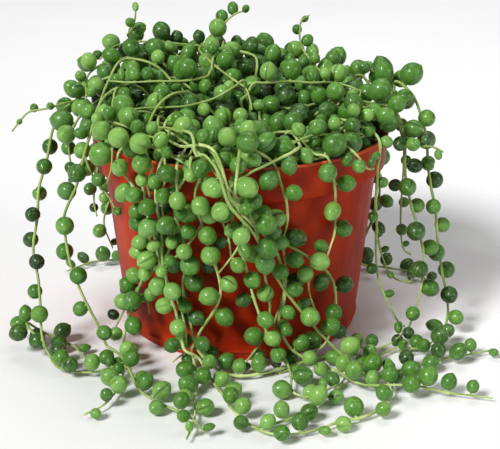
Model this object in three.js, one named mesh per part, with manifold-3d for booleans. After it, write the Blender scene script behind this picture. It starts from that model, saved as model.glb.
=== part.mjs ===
// A string of pearls, Curio rowleyanus, in a round plastic nursery pot.
// Millimetres, +Z up, the origin at the middle of the pot's underside.
// Each vine is one grown piece: a thin stem with its round leaves on it, rooted in the soil,
// sprawling over the heap of older growth and falling over the rim down to the surface.

import * as THREE from 'three';
import Module from 'manifold-3d';
import { mergeVertices } from 'three/addons/utils/BufferGeometryUtils.js';

const wasm = await Module();
wasm.setup();

// ---- driving dimensions ----

const pot = {
	height: 105,
	rimRadius: 76,
	rimDepth: 17,
	rimFootRadius: 74.6,
	shoulderRadius: 70.5,
	baseRadius: 60.5,
	baseEdge: 1.2,
	lineHeight: 5,
	lineStep: 0.7,
	wall: 1.4,
	floor: 2,
	sides: 40,
};
const drain = { count: 6, radius: 4.5, ring: 40, sides: 10 };
const soil = { top: 99, gap: 0.3, edgeDrop: 1 };
const heap = { foot: 104, rise: 25, lean: 0.004, centre: [-8, 26], width: 92, depth: 66, clear: 4 };
const stem = { radius: 0.75, step: 3, space: 3.1, wallGap: 1.3, floorGap: 1, coarse: 0.45 };
const pearl = {
	radius: 4.4,
	petiole: 1.1,
	point: 0.6,
	crownGap: 6.6,
	crownSize: 1.17,
	fallGap: 12,
	floorGap: 9.8,
	floorSize: 0.95,
	apart: 0.25,
	fromStem: 1.25,
	fromWall: 0.35,
	tries: 24,
	beside: 0.9,
	under: 1.45,
	open: [ 0, - 0.87, 0.5 ],
	openSteps: [ 4, 8, 12, 16 ],
	solidFrom: 2.6,
	buried: 4,
};

// ---- shared small helpers ----

let dice = 4711;
function random() {
	dice = ( dice * 16807 ) % 2147483647;
	return dice / 2147483647;
}

function clamp01( value ) {
	return Math.min( 1, Math.max( 0, value ) );
}

// A place given as compass angle from the front (degrees, clockwise from above is negative),
// distance from the pot's axis, and height.
function at( azimuth, radius, z ) {
	const a = THREE.MathUtils.degToRad( azimuth );
	return new THREE.Vector3( radius * Math.sin( a ), - radius * Math.cos( a ), z );
}

function heapHeight( x, y ) {
	const across = Math.exp( - ( Math.abs( ( x - heap.centre[ 0 ] ) / heap.width ) ** 4 ) );
	const along = Math.exp( - ( Math.abs( ( y - heap.centre[ 1 ] ) / heap.depth ) ** 3 ) );
	return heap.foot + heap.rise * ( 1 - heap.lean * x ) * across * along;
}

// ---- where each vine runs ----
// root: where it leaves the soil. over: [angle, radius, level], level 0 at the soil and 1 at
// the top of the heap. fall: [angle, radius, height], beside the pot and along the surface.
// A second strand of a vine is a side shoot, which starts at its first point on the main stem.
// shown: a stem that lies on top of the heap, and how far its view from the front is kept open.

const vines = [
	{ name: 'front_01', strands: [ {
		root: [ - 20, 25 ],
		over: [ [ - 19, 45, 0.95 ], [ - 17, 66, 1 ] ],
		fall: [ [ - 16, 80, 110 ], [ - 16, 83, 105 ], [ - 20, 84, 95 ], [ - 22, 80, 82 ],
			[ - 20, 78, 72 ], [ - 20, 75, 56 ], [ - 22, 73, 42 ], [ - 20, 71, 26 ],
			[ - 17, 73, 12 ], [ - 8, 77, 3 ], [ 0, 83, 3 ], [ 12, 79, 3 ], [ 22, 75, 3 ],
			[ 33, 74, 3 ], [ 42, 79, 3 ], [ 46, 90, 3 ], [ 57, 94, 3 ], [ 60, 105, 3 ],
			[ 69, 113, 3 ] ],
		gap: 10.5,
	} ] },
	{ name: 'front_02', strands: [ {
		root: [ - 50, 25 ],
		over: [ [ - 46, 42, 0.95 ] ],
		fall: [ [ - 39, 57, 116 ], [ - 26, 64, 114 ], [ - 13, 82, 114 ], [ - 8, 88, 108 ],
			[ - 3, 91, 101 ], [ 0, 90, 94 ], [ 1, 87, 84 ], [ 1, 83, 74 ], [ - 2, 82, 65 ],
			[ - 7, 80, 55 ] ],
		gap: 9,
	} ] },
	{ name: 'front_03', strands: [ {
		root: [ - 15, 22 ],
		over: [ [ - 15, 45, 0.9 ], [ - 14, 66, 1 ] ],
		fall: [ [ - 11, 81, 110 ], [ - 12, 84, 104 ], [ - 14, 83, 95 ], [ - 14, 78, 83 ],
			[ - 11, 76, 67 ], [ - 8, 76, 54 ], [ - 7, 74, 44 ], [ - 9, 73, 34 ], [ - 15, 71, 21 ],
			[ - 18, 73, 8 ], [ - 13, 90, 3 ], [ - 11, 109, 3 ], [ - 9, 128, 3 ], [ - 9, 146, 3 ] ],
		gap: 9,
	}, {
		fall: [ [ - 13, 77, 78 ], [ - 18, 79, 67 ], [ - 24, 79, 58 ], [ - 32, 75, 47 ],
			[ - 38, 73, 36 ], [ - 39, 71, 23 ] ],
		gap: 9,
	} ] },
	{ name: 'front_04', strands: [ {
		root: [ - 40, 35 ],
		over: [ [ - 42, 55, 0.95 ], [ - 43, 70, 1 ] ],
		fall: [ [ - 43, 82, 109 ], [ - 44, 82, 102 ], [ - 39, 82, 95 ], [ - 35, 79, 85 ],
			[ - 34, 76, 76 ], [ - 30, 76, 65 ], [ - 27, 75, 52 ], [ - 24, 72, 37 ],
			[ - 20, 71, 20 ], [ - 20, 74, 7 ], [ - 24, 80, 3 ] ],
		gap: 9,
	} ] },
	{ name: 'front_05', strands: [ {
		root: [ - 11, 34 ],
		over: [ [ - 7, 53, 1 ] ],
		fall: [ [ - 2, 72, 116 ], [ 5, 80, 115 ], [ 11, 81, 109 ], [ 14, 79, 98 ], [ 16, 79, 89 ],
			[ 17, 76, 78 ], [ 16, 74, 67 ], [ 18, 72, 50 ], [ 17, 70, 36 ], [ 14, 69, 22 ],
			[ 16, 71, 10 ] ],
		gap: 13,
	}, {
		fall: [ [ 16, 74, 67 ], [ 21, 76, 63 ], [ 28, 76, 56 ], [ 36, 75, 45 ], [ 40, 73, 33 ],
			[ 40, 72, 20 ], [ 34, 73, 8 ], [ 24, 77, 3 ], [ 13, 84, 3 ] ],
		gap: 12.5,
	}, {
		fall: [ [ 27, 76, 57 ], [ 27, 73, 42 ], [ 29, 72, 33 ], [ 32, 72, 25 ] ],
		gap: 10,
	}, {
		fall: [ [ 40, 74, 20 ], [ 44, 76, 10 ], [ 48, 80, 4 ], [ 49, 88, 3 ], [ 56, 92, 3 ] ],
	} ] },
	{ name: 'front_06', strands: [ {
		root: [ 34, 28 ],
		over: [ [ 32, 50, 0.95 ], [ 31, 68, 1 ] ],
		fall: [ [ 31, 79, 108 ], [ 33, 80, 99 ], [ 36, 77, 88 ], [ 37, 75, 78 ], [ 37, 74, 69 ],
			[ 33, 74, 60 ], [ 31, 74, 54 ] ],
		gap: 11,
	}, {
		over: [ [ 33, 58, 1 ] ],
		fall: [ [ 38, 73, 113 ], [ 39, 81, 111 ], [ 40, 87, 107 ], [ 42, 89, 102 ], [ 45, 89, 101 ] ],
		gap: 8,
		size: 4.2,
	} ] },
	{ name: 'front_07', strands: [ {
		root: [ - 24, 28 ],
		over: [ [ - 23, 48, 0.9 ], [ - 21, 66, 1 ] ],
		fall: [ [ - 20, 81, 109 ], [ - 19, 84, 100 ], [ - 19, 80, 87 ], [ - 23, 77, 75 ],
			[ - 26, 76, 62 ], [ - 33, 75, 50 ], [ - 43, 73, 37 ], [ - 52, 73, 22 ],
			[ - 58, 76, 7 ] ],
		gap: 9,
	} ] },
	{ name: 'front_08', strands: [ {
		root: [ - 38, 32 ],
		over: [ [ - 34, 52, 0.95 ] ],
		fall: [ [ - 28, 70, 115 ], [ - 25, 81, 112 ], [ - 23, 86, 103 ], [ - 25, 84, 93 ],
			[ - 27, 79, 80 ], [ - 26, 77, 70 ] ],
		gap: 8.5,
		size: 5,
	} ] },
	{ name: 'front_09', strands: [ {
		root: [ - 28, 40 ],
		over: [ [ - 26, 54, 1 ], [ - 24, 67, 1 ] ],
		fall: [ [ - 26, 79, 109 ], [ - 27, 83, 98 ], [ - 27, 80, 80 ], [ - 26, 77, 60 ],
			[ - 24, 75, 38 ], [ - 20, 74, 16 ], [ - 14, 78, 4 ], [ - 5, 100, 3 ], [ - 1, 119, 3 ],
			[ 3, 134, 3 ], [ 7, 141, 3 ], [ 12, 141, 3 ], [ 18, 137, 3 ] ],
		gap: 10,
	}, {
		fall: [ [ 4, 133, 3 ], [ 7, 131, 3 ], [ 12, 125, 3 ], [ 17, 117, 3 ], [ 24, 109, 3 ],
			[ 32, 97, 3 ] ],
	}, {
		fall: [ [ 17, 139, 3 ], [ 19, 136, 3 ], [ 24, 136, 3 ], [ 30, 132, 3 ], [ 34, 126, 3 ],
			[ 39, 115, 3 ], [ 45, 101, 3 ] ],
	} ] },
	{ name: 'front_10', strands: [ {
		root: [ - 48, 35 ],
		over: [ [ - 47, 55, 0.95 ], [ - 44, 70, 1 ] ],
		fall: [ [ - 35, 80, 114 ], [ - 31, 82, 109 ], [ - 33, 83, 99 ], [ - 33, 80, 86 ],
			[ - 32, 78, 72 ], [ - 33, 77, 61 ], [ - 37, 75, 47 ], [ - 43, 75, 30 ],
			[ - 48, 77, 14 ], [ - 44, 83, 4 ], [ - 37, 93, 3 ], [ - 31, 112, 3 ], [ - 29, 128, 3 ],
			[ - 30, 141, 3 ] ],
		gap: 9.5,
	}, {
		fall: [ [ - 27, 81, 110 ], [ - 28, 85, 105 ], [ - 30, 85, 98 ], [ - 30, 83, 90 ] ],
		gap: 8,
	} ] },
	{ name: 'front_11', strands: [ {
		root: [ 30, 45 ],
		over: [ [ 27, 62, 1 ] ],
		fall: [ [ 22, 74, 113 ], [ 16, 82, 113 ], [ 9, 85, 110 ], [ 3, 86, 106 ], [ - 3, 86, 99 ],
			[ - 6, 82, 90 ], [ - 6, 77, 80 ], [ - 4, 76, 72 ], [ - 3, 74, 60 ] ],
		gap: 12,
		shown: 1,
	} ] },
	{ name: 'front_12', strands: [ {
		root: [ 0, 25 ],
		over: [ [ 0, 45, 0.9 ] ],
		fall: [ [ 2, 66, 112 ], [ 1, 81, 110 ], [ 0, 85, 105 ], [ - 2, 84, 92 ], [ - 2, 79, 80 ],
			[ 0, 76, 68 ], [ 3, 74, 52 ], [ 6, 73, 36 ], [ 11, 73, 19 ], [ 16, 75, 7 ],
			[ 16, 88, 3 ], [ 14, 104, 3 ], [ 17, 113, 3 ], [ 25, 108, 3 ] ],
		gap: 11.5,
	} ] },
	{ name: 'front_13', strands: [ {
		root: [ - 6, 20 ],
		over: [ [ - 10, 46, 0.9 ] ],
		fall: [ [ - 10, 66, 112 ], [ - 10, 81, 109 ], [ - 6, 84, 103 ], [ 1, 82, 92 ], [ 5, 76, 79 ],
			[ 8, 73, 62 ], [ 10, 72, 47 ], [ 12, 70, 33 ], [ 11, 70, 22 ], [ 7, 70, 12 ],
			[ 2, 71, 4 ], [ - 1, 78, 3 ] ],
		gap: 9.5,
	} ] },
	{ name: 'front_14', strands: [ {
		root: [ - 54, 40 ],
		over: [ [ - 47, 53, 1 ] ],
		fall: [ [ - 37, 63, 113 ], [ - 27, 69, 113 ], [ - 15, 84, 112 ], [ - 8, 86, 106 ],
			[ - 2, 86, 98 ], [ 2, 85, 89 ], [ 7, 79, 77 ], [ 13, 76, 64 ], [ 16, 73, 50 ],
			[ 17, 71, 38 ], [ 15, 71, 25 ], [ 18, 73, 14 ], [ 23, 77, 5 ], [ 29, 92, 3 ],
			[ 30, 108, 3 ], [ 35, 120, 3 ], [ 41, 129, 3 ], [ 44, 139, 3 ], [ 48, 158, 3 ] ],
		gap: 13,
		shown: 1,
	} ] },
	{ name: 'left_01', strands: [ {
		root: [ - 60, 35 ],
		over: [ [ - 58, 55, 0.95 ], [ - 59, 70, 1 ] ],
		fall: [ [ - 50, 79, 110 ], [ - 45, 81, 101 ], [ - 47, 83, 92 ] ],
		gap: 8,
		size: 5,
	} ] },
	{ name: 'left_02', strands: [ {
		root: [ - 85, 35 ],
		over: [ [ - 84, 55, 0.9 ] ],
		fall: [ [ - 82, 76, 117 ], [ - 77, 83, 112 ], [ - 74, 88, 103 ], [ - 73, 88, 91 ],
			[ - 72, 86, 82 ] ],
		gap: 7.5,
	} ] },
	{ name: 'left_03', strands: [ {
		root: [ - 100, 40 ],
		over: [ [ - 98, 55, 0.8 ], [ - 95, 70, 0.9 ] ],
		fall: [ [ - 90, 84, 117 ], [ - 87, 90, 113 ], [ - 84, 95, 105 ], [ - 78, 99, 92 ],
			[ - 76, 104, 78 ], [ - 73, 106, 66 ], [ - 70, 110, 50 ], [ - 66, 110, 37 ],
			[ - 62, 112, 24 ], [ - 58, 115, 14 ], [ - 57, 113, 5 ], [ - 50, 115, 3 ],
			[ - 44, 110, 3 ], [ - 39, 103, 3 ], [ - 37, 93, 3 ] ],
		gap: 12.5,
	}, {
		fall: [ [ - 90, 84, 117 ], [ - 86, 90, 117 ], [ - 85, 99, 115 ], [ - 86, 107, 113 ],
			[ - 86, 112, 108 ], [ - 86, 116, 103 ] ],
		gap: 9,
		size: 2.6,
	}, {
		fall: [ [ - 57, 114, 8 ], [ - 62, 118, 15 ], [ - 68, 116, 13 ], [ - 70, 109, 6 ],
			[ - 64, 102, 4 ], [ - 57, 98, 4 ], [ - 51, 100, 3 ] ],
		gap: 6,
		size: 4.4,
	} ] },
	{ name: 'left_04', strands: [ {
		root: [ - 105, 25 ],
		over: [ [ - 112, 45, 0.9 ] ],
		fall: [ [ - 108, 63, 134 ], [ - 86, 67, 127 ], [ - 70, 76, 114 ], [ - 63, 85, 100 ],
			[ - 62, 90, 86 ], [ - 62, 97, 72 ], [ - 61, 98, 64 ], [ - 58, 98, 49 ],
			[ - 54, 96, 35 ], [ - 50, 92, 20 ], [ - 46, 88, 5 ], [ - 38, 92, 3 ],
			[ - 26, 108, 3 ], [ - 18, 117, 3 ], [ - 10, 130, 3 ], [ - 6, 142, 3 ] ],
		gap: 14,
		shown: 4,
	}, {
		fall: [ [ - 63, 85, 100 ], [ - 60, 83, 91 ], [ - 57, 80, 85 ], [ - 53, 78, 79 ],
			[ - 51, 77, 73 ] ],
		gap: 9,
	} ] },
	{ name: 'right_01', strands: [ {
		root: [ 80, 42 ],
		over: [ [ 80, 60, 1 ] ],
		fall: [ [ 81, 77, 112 ], [ 81, 83, 100 ], [ 79, 84, 87 ], [ 77, 84, 75 ], [ 76, 84, 62 ],
			[ 76, 85, 49 ], [ 76, 87, 43 ], [ 77, 90, 41 ] ],
		gap: 11,
		size: 3.2,
	} ] },
	{ name: 'right_02', strands: [ {
		root: [ 60, 35 ],
		over: [ [ 60, 55, 0.95 ], [ 60, 68, 1 ] ],
		fall: [ [ 57, 79, 108 ], [ 55, 81, 98 ], [ 55, 81, 90 ], [ 57, 79, 76 ], [ 62, 77, 62 ],
			[ 62, 77, 49 ], [ 61, 79, 37 ], [ 61, 83, 27 ], [ 61, 88, 18 ], [ 66, 90, 8 ],
			[ 74, 89, 3 ] ],
		gap: 15,
		size: 2.6,
	}, {
		fall: [ [ 62, 77, 62 ], [ 67, 77, 47 ], [ 68, 81, 36 ], [ 69, 86, 31 ], [ 71, 93, 30 ] ],
		gap: 13,
		size: 2.4,
	} ] },
	{ name: 'right_03', strands: [ {
		root: [ 75, 35 ],
		over: [ [ 77, 55, 0.95 ], [ 80, 68, 1 ] ],
		fall: [ [ 80, 78, 112 ], [ 76, 84, 100 ], [ 74, 86, 85 ], [ 72, 90, 71 ], [ 70, 96, 56 ],
			[ 69, 99, 44 ], [ 67, 99, 31 ], [ 65, 97, 18 ], [ 66, 92, 6 ], [ 60, 93, 3 ],
			[ 56, 93, 3 ] ],
		gap: 11,
	}, {
		fall: [ [ 80, 78, 112 ], [ 76, 84, 106 ], [ 74, 88, 103 ], [ 73, 93, 101 ],
			[ 74, 98, 101 ], [ 75, 104, 98 ] ],
		gap: 6.5,
	} ] },
	{ name: 'right_04', strands: [ {
		root: [ 95, 40 ],
		over: [ [ 92, 56, 0.9 ], [ 90, 68, 1 ] ],
		fall: [ [ 90, 78, 127 ], [ 87, 87, 121 ], [ 85, 92, 110 ], [ 84, 95, 99 ], [ 83, 96, 87 ],
			[ 82, 98, 76 ], [ 81, 101, 64 ], [ 80, 103, 48 ], [ 79, 106, 32 ], [ 77, 110, 16 ],
			[ 74, 110, 5 ], [ 63, 109, 3 ], [ 58, 105, 3 ], [ 53, 97, 3 ] ],
		gap: 11.5,
	} ] },
	{ name: 'rim_01', strands: [ {
		root: [ - 160, 58 ],
		over: [ [ - 152, 66, 1 ] ],
		fall: [ [ - 140, 73, 124 ], [ - 125, 76, 127 ], [ - 108, 78, 129 ], [ - 92, 78, 128 ],
			[ - 78, 78, 122 ] ],
	} ] },
	{ name: 'rim_02', strands: [ {
		root: [ - 80, 56 ],
		over: [ [ - 76, 66, 1 ] ],
		fall: [ [ - 68, 76, 118 ], [ - 58, 79, 114 ], [ - 48, 81, 111 ], [ - 37, 82, 109 ],
			[ - 27, 83, 107 ], [ - 17, 84, 105 ] ],
	} ] },
	{ name: 'rim_03', strands: [ {
		root: [ 52, 56 ],
		over: [ [ 58, 66, 1 ] ],
		fall: [ [ 68, 74, 114 ], [ 80, 77, 119 ], [ 94, 78, 123 ], [ 108, 78, 125 ],
			[ 122, 76, 124 ] ],
	} ] },
	{ name: 'rim_04', strands: [ {
		root: [ 128, 56 ],
		over: [ [ 134, 66, 1 ] ],
		fall: [ [ 144, 74, 122 ], [ 158, 77, 122 ], [ 173, 78, 122 ], [ 188, 77, 122 ],
			[ 202, 76, 122 ] ],
	} ] },
	{ name: 'rim_05', strands: [ {
		root: [ - 84, 54 ],
		over: [ [ - 78, 62, 0.9 ] ],
		fall: [ [ - 70, 70, 112 ], [ - 60, 74, 110 ], [ - 49, 76, 108.5 ], [ - 38, 77, 108 ],
			[ - 27, 77, 108 ] ],
	} ] },
	{ name: 'rim_06', strands: [ {
		root: [ 84, 54 ],
		over: [ [ 76, 62, 0.8 ], [ 64, 66, 0.6 ], [ 52, 67, 0.6 ], [ 40, 67, 0.6 ], [ 29, 67, 0.6 ],
			[ 18, 68, 0.6 ] ],
	} ] },
	{ name: 'top_01', strands: [ {
		root: [ 172, 26 ],
		over: [ [ 167, 38, 1.05 ], [ - 179, 47, 1.15 ], [ - 167, 52, 1.15 ], [ - 158, 57, 1.16 ],
			[ - 146, 64, 1.16 ], [ - 138, 70, 1.18 ], [ - 131, 76, 1.18 ], [ - 122, 78, 1.1 ],
			[ - 112, 80, 0.9 ] ],
		shown: 4,
	}, {
		over: [ [ - 158, 57, 1.16 ], [ - 147, 40, 1.16 ], [ - 128, 20, 1.16 ], [ - 98, 10, 1.15 ],
			[ - 26, 8, 1.15 ], [ 11, 14, 1.15 ], [ 13, 21, 1.12 ], [ 12, 28, 1.08 ] ],
		shown: 4,
	}, {
		over: [ [ - 131, 76, 1.18 ] ],
		fall: [ [ - 119, 68, 144 ], [ - 117, 64, 147 ], [ - 116, 62, 150 ], [ - 115, 60, 155 ],
			[ - 114, 59, 160 ] ],
		gap: 7,
		size: 4,
	} ] },
	{ name: 'top_02', strands: [ {
		root: [ 30, 12 ],
		over: [ [ 10, 13, 1.08 ], [ - 5, 18, 1.14 ], [ - 23, 25, 1.15 ], [ - 35, 32, 1.15 ],
			[ - 42, 39, 1.15 ], [ - 49, 47, 1.15 ], [ - 55, 57, 1.15 ], [ - 58, 64, 1.12 ] ],
		shown: 4,
	} ] },
	{ name: 'top_03', strands: [ {
		root: [ - 120, 14 ],
		over: [ [ - 95, 15, 1.1 ], [ - 68, 18, 1.15 ], [ - 66, 29, 1.15 ], [ - 69, 37, 1.15 ],
			[ - 72, 45, 1.15 ], [ - 75, 56, 1.15 ], [ - 81, 66, 1.12 ] ],
		shown: 4,
	}, {
		over: [ [ - 95, 15, 1.1 ] ],
		fall: [ [ - 168, 44, 138 ], [ - 167, 50, 143 ], [ - 171, 49, 148 ], [ - 177, 49, 152 ],
			[ 175, 49, 154 ] ],
		gap: 8,
		size: 3.9,
	} ] },
	{ name: 'top_04', strands: [ {
		root: [ - 10, 10 ],
		over: [ [ 20, 14, 1.12 ], [ 43, 16, 1.15 ], [ 69, 20, 1.15 ], [ 84, 26, 1.16 ],
			[ 90, 36, 1.16 ], [ 99, 46, 1.15 ], [ 99, 54, 1.14 ], [ 94, 59, 1.13 ], [ 83, 61, 1.1 ],
			[ 74, 61, 1.08 ] ],
		shown: 4,
	}, {
		over: [ [ 99, 46, 1.15 ] ],
		fall: [ [ 140, 52, 134 ], [ 142, 51, 140 ], [ 142, 51, 146 ], [ 141, 51, 150 ],
			[ 137, 53, 153 ] ],
		gap: 8,
		size: 3,
	} ] },
	{ name: 'top_05', strands: [ {
		root: [ - 70, 10 ],
		over: [ [ - 60, 30, 0.95 ] ],
		fall: [ [ - 43, 63, 116 ], [ - 25, 72, 114 ], [ - 13, 87, 112 ], [ - 8, 89, 105 ],
			[ - 2, 89, 97 ], [ 3, 85, 84 ], [ 8, 80, 66 ], [ 13, 78, 51 ], [ 20, 79, 36 ],
			[ 30, 85, 17 ], [ 36, 95, 5 ], [ 36, 107, 3 ], [ 39, 113, 3 ], [ 48, 112, 3 ],
			[ 56, 118, 3 ], [ 67, 138, 3 ] ],
		gap: 14,
		shown: 1,
	} ] },
];

// A vine low in the heap or inside it, which winds outwards from near the middle.
function windingVine( name, azimuth, turn, level, inner, outer ) {
	const over = [];
	for ( let j = 0; j <= 5; j ++ ) {
		over.push( [
			azimuth + turn * ( 0.15 + j / 5 ),
			inner + ( outer - inner ) * ( j / 5 ) ** 0.8,
			level * ( 0.75 + 0.25 * Math.min( 1, j / 2 ) ),
		] );
	}
	return { name, strands: [ { root: [ azimuth, inner * 0.8 + 4 ], over } ] };
}

// A vine lying on the soil just inside the rim.
function edgeVine( name, azimuth, turn, level ) {
	const over = [];
	for ( let j = 0; j <= 6; j ++ ) {
		over.push( [ azimuth + turn * j / 6, 66 + 2 * Math.sin( 2 * j ), level ] );
	}
	return { name, strands: [ { root: [ azimuth - Math.sign( turn ) * 5, 54 ], over } ] };
}

// The stretch of a vine that falls behind the pot to a given height. With the foot near 0 it
// runs out along the surface.
function fallBehind( azimuth, foot, sway ) {
	const fall = [ [ azimuth, 79, 119 ], [ azimuth + sway / 3, 86, 104 ] ];
	let az = azimuth;
	for ( let z = 87; z > Math.max( foot, 16 ); z -= 17 ) {
		az = azimuth + sway * Math.sin( z / 19 + azimuth );
		fall.push( [ az, 84 + ( 87 - z ) * 0.07, z ] );
	}
	if ( foot > 5 ) {
		fall.push( [ az + sway / 4, 84, foot ] );
	} else {
		fall.push( [ az, 88, 6 ], [ az + sway / 2, 99, foot ], [ az + sway * 1.6, 108, foot ] );
		fall.push( [ az + sway * 3, 112, foot ] );
	}
	return fall;
}

// A vine behind the pot with a side shoot that parts from it at the rim.
function backVine( name, azimuth, foot, sway ) {
	const over = [ [ azimuth - 3, 52, 0.9 ], [ azimuth, 68, 1 ] ];
	const shoot = fallBehind( azimuth + 8, 28 + ( foot * 29 ) % 47, - 0.7 * sway );
	return { name, strands: [
		{ root: [ azimuth - 6, 32 ], over, fall: fallBehind( azimuth, foot, sway ), gap: 10.5 },
		{ fall: [ [ azimuth, 79, 119 ], ...shoot.slice( 1 ) ], gap: 10 },
	] };
}

const edgeVines = [];
for ( let i = 0; i < 4; i ++ ) {
	edgeVines.push( edgeVine( `crown_edge_${ i + 1 }`, 90 * i + 25, 84, 0.22 ) );
}
const lowVines = [];
for ( let i = 0; i < 5; i ++ ) {
	const turn = i % 2 ? 75 : - 75;
	lowVines.push( windingVine( `crown_low_${ i + 1 }`, 72 * i + 20, turn, 0.35, 14 + 6 * ( i % 3 ), 66 ) );
}
const middleVines = [];
for ( let i = 0; i < 5; i ++ ) {
	const turn = i % 2 ? - 70 : 70;
	const inner = 12 + 8 * ( i % 2 );
	middleVines.push( windingVine( `crown_middle_${ i + 1 }`, 72 * i + 50, turn, 0.68, inner, 70 ) );
}
const backFeet = [ 3, 50, 12, 3, 62, 3, 34, 3, 20 ];
const backVines = backFeet.map( ( foot, i ) => {
	const sway = i % 2 ? 7 : - 7;
	return backVine( `back_${ i + 1 }`, 124 + 14 * i, foot, sway );
} );
const allVines = [ ...edgeVines, ...lowVines, ...middleVines, ...backVines, ...vines ];

// ---- laying the vines over the pot, the soil and each other ----

// The pot and soil in section, from the axis outwards: radius, height.
const section = [
	[ 0, 0 ],
	[ pot.baseRadius, 0 ],
	[ pot.shoulderRadius, pot.height - pot.rimDepth ],
	[ pot.rimFootRadius, pot.height - pot.rimDepth ],
	[ pot.rimRadius, pot.height ],
	[ pot.rimRadius - pot.wall, pot.height ],
	[ pot.rimRadius - pot.wall, soil.top ],
	[ 0, soil.top ],
];

// How far a point stands clear of the pot and soil, below 0 inside them.
function wallClearance( point ) {
	const r = Math.hypot( point.x, point.y );
	const z = point.z;
	let nearest = Infinity;
	let inside = false;
	for ( let i = 0; i < section.length; i ++ ) {
		const [ ra, za ] = section[ i ];
		const [ rb, zb ] = section[ ( i + 1 ) % section.length ];
		const dr = rb - ra;
		const dz = zb - za;
		const along = clamp01( ( ( r - ra ) * dr + ( z - za ) * dz ) / ( dr * dr + dz * dz ) );
		if ( i < section.length - 1 ) {
			nearest = Math.min( nearest, Math.hypot( r - ra - dr * along, z - za - dz * along ) );
		}
		if ( za > z !== zb > z && r < ra + ( z - za ) / dz * dr ) inside = ! inside;
	}
	return inside ? - nearest : nearest;
}

function nearestPoint( point, others ) {
	let nearest = null;
	let shortest = Infinity;
	for ( const other of others ) {
		const distance = other.distanceToSquared( point );
		if ( distance < shortest ) {
			shortest = distance;
			nearest = other;
		}
	}
	return nearest;
}

function nearestDistance( point, others ) {
	return others.length > 0 ? nearestPoint( point, others ).distanceTo( point ) : Infinity;
}

// A smooth line through the knots, with a point about every stem.step.
function smoothLine( knots ) {
	const lengths = knots.slice( 1 ).map( ( knot, i ) => knot.distanceTo( knots[ i ] ) );
	const slopes = knots.map( ( knot, i ) => {
		const before = Math.max( 0, i - 1 );
		const after = Math.min( knots.length - 1, i + 1 );
		const length = lengths.slice( before, after ).reduce( ( sum, part ) => sum + part, 0 );
		return knots[ after ].clone().sub( knots[ before ] ).divideScalar( length );
	} );
	const line = [];
	for ( let i = 0; i < lengths.length; i ++ ) {
		const steps = Math.max( 1, Math.floor( lengths[ i ] / stem.step + 0.5 ) );
		for ( let s = 0; s < steps; s ++ ) {
			const t = s / steps;
			const point = new THREE.Vector3();
			point.addScaledVector( knots[ i ], ( 1 + 2 * t ) * ( 1 - t ) ** 2 );
			point.addScaledVector( slopes[ i ], lengths[ i ] * t * ( 1 - t ) ** 2 );
			point.addScaledVector( knots[ i + 1 ], t * t * ( 3 - 2 * t ) );
			point.addScaledVector( slopes[ i + 1 ], lengths[ i ] * t * t * ( t - 1 ) );
			line.push( point );
		}
	}
	line.push( knots.at( - 1 ).clone() );
	return line;
}

// Away from the wall beside the pot, and up over the soil and along the surface. A stretch
// that itself runs that way moves aside instead, away from the stem that it is too near to.
function liftDirection( line, i, laid ) {
	const point = line[ i ];
	const r = Math.hypot( point.x, point.y );
	const beside = r > 70 ? clamp01( ( 112 - point.z ) / 14 ) * clamp01( ( point.z - 4 ) / 10 ) : 0;
	const out = new THREE.Vector3( point.x / r * beside, point.y / r * beside, 1 - beside ).normalize();
	const run = line[ Math.min( i + 1, line.length - 1 ) ].clone().sub( line[ i - 1 ] ).normalize();
	if ( Math.abs( out.dot( run ) ) > 0.75 && laid.length > 0 ) {
		return point.clone().sub( nearestPoint( point, laid ) ).normalize();
	}
	return out;
}

// Lifts a line over what lies under it. The first points, in the soil or on the parent
// stem, stay where they are.
function drape( line, laid ) {
	const fixed = 2;
	const reach = 7;
	for ( let pass = 0; pass < 30; pass ++ ) {
		const short = line.map( ( point, i ) => i < fixed ? 0 : Math.max(
			0,
			stem.space - nearestDistance( point, laid ),
			stem.wallGap - wallClearance( point ),
			stem.floorGap - point.z,
		) );
		if ( Math.max( ...short ) <= 0.01 ) return;
		const moves = line.map( ( point, i ) => {
			let lift = 0;
			for ( let k = - reach; k <= reach; k ++ ) {
				const near = short[ i + k ] ?? 0;
				lift = Math.max( lift, near * ( 0.5 + 0.5 * Math.cos( Math.PI * k / ( reach + 1 ) ) ) );
			}
			if ( i < fixed || lift === 0 ) return new THREE.Vector3();
			return liftDirection( line, i, laid ).multiplyScalar( 0.6 * lift + 0.05 );
		} );
		moves.forEach( ( move, i ) => line[ i ].add( move ) );
	}
}

function strandKnots( strand ) {
	const knots = [];
	if ( strand.root ) {
		knots.push( at( ...strand.root, soil.top + soil.gap ) );
		knots.push( at( ...strand.root, soil.top + 7 ) );
	}
	for ( const [ azimuth, radius, level ] of strand.over ?? [] ) {
		const knot = at( azimuth, radius, 0 );
		const low = soil.top + heap.clear;
		knot.z = low + ( heapHeight( knot.x, knot.y ) - low ) * level;
		knots.push( knot );
	}
	for ( const place of strand.fall ?? [] ) knots.push( at( ...place ) );
	return knots;
}

function layVines() {
	const laid = [];
	return allVines.map( ( { name, strands } ) => {
		const lines = [];
		for ( const strand of strands ) {
			const knots = strandKnots( strand );
			if ( lines.length > 0 ) {
				knots[ 0 ] = nearestPoint( knots[ 0 ], lines.flat() ).clone();
			}
			const line = smoothLine( knots );
			drape( line, laid );
			lines.push( line );
		}
		laid.push( ...lines.flat() );
		return { name, strands, lines, pearls: [] };
	} );
}

// ---- the round leaves ----

const grown = [];

function hasRoom( centre, radius, otherStems ) {
	if ( centre.z < radius + 0.3 ) return false;
	if ( wallClearance( centre ) < radius + pearl.fromWall ) return false;
	for ( const leaf of grown ) {
		if ( leaf.centre.distanceTo( centre ) - leaf.radius < radius + pearl.apart ) return false;
	}
	return nearestDistance( centre, otherStems ) >= radius + pearl.fromStem;
}

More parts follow.
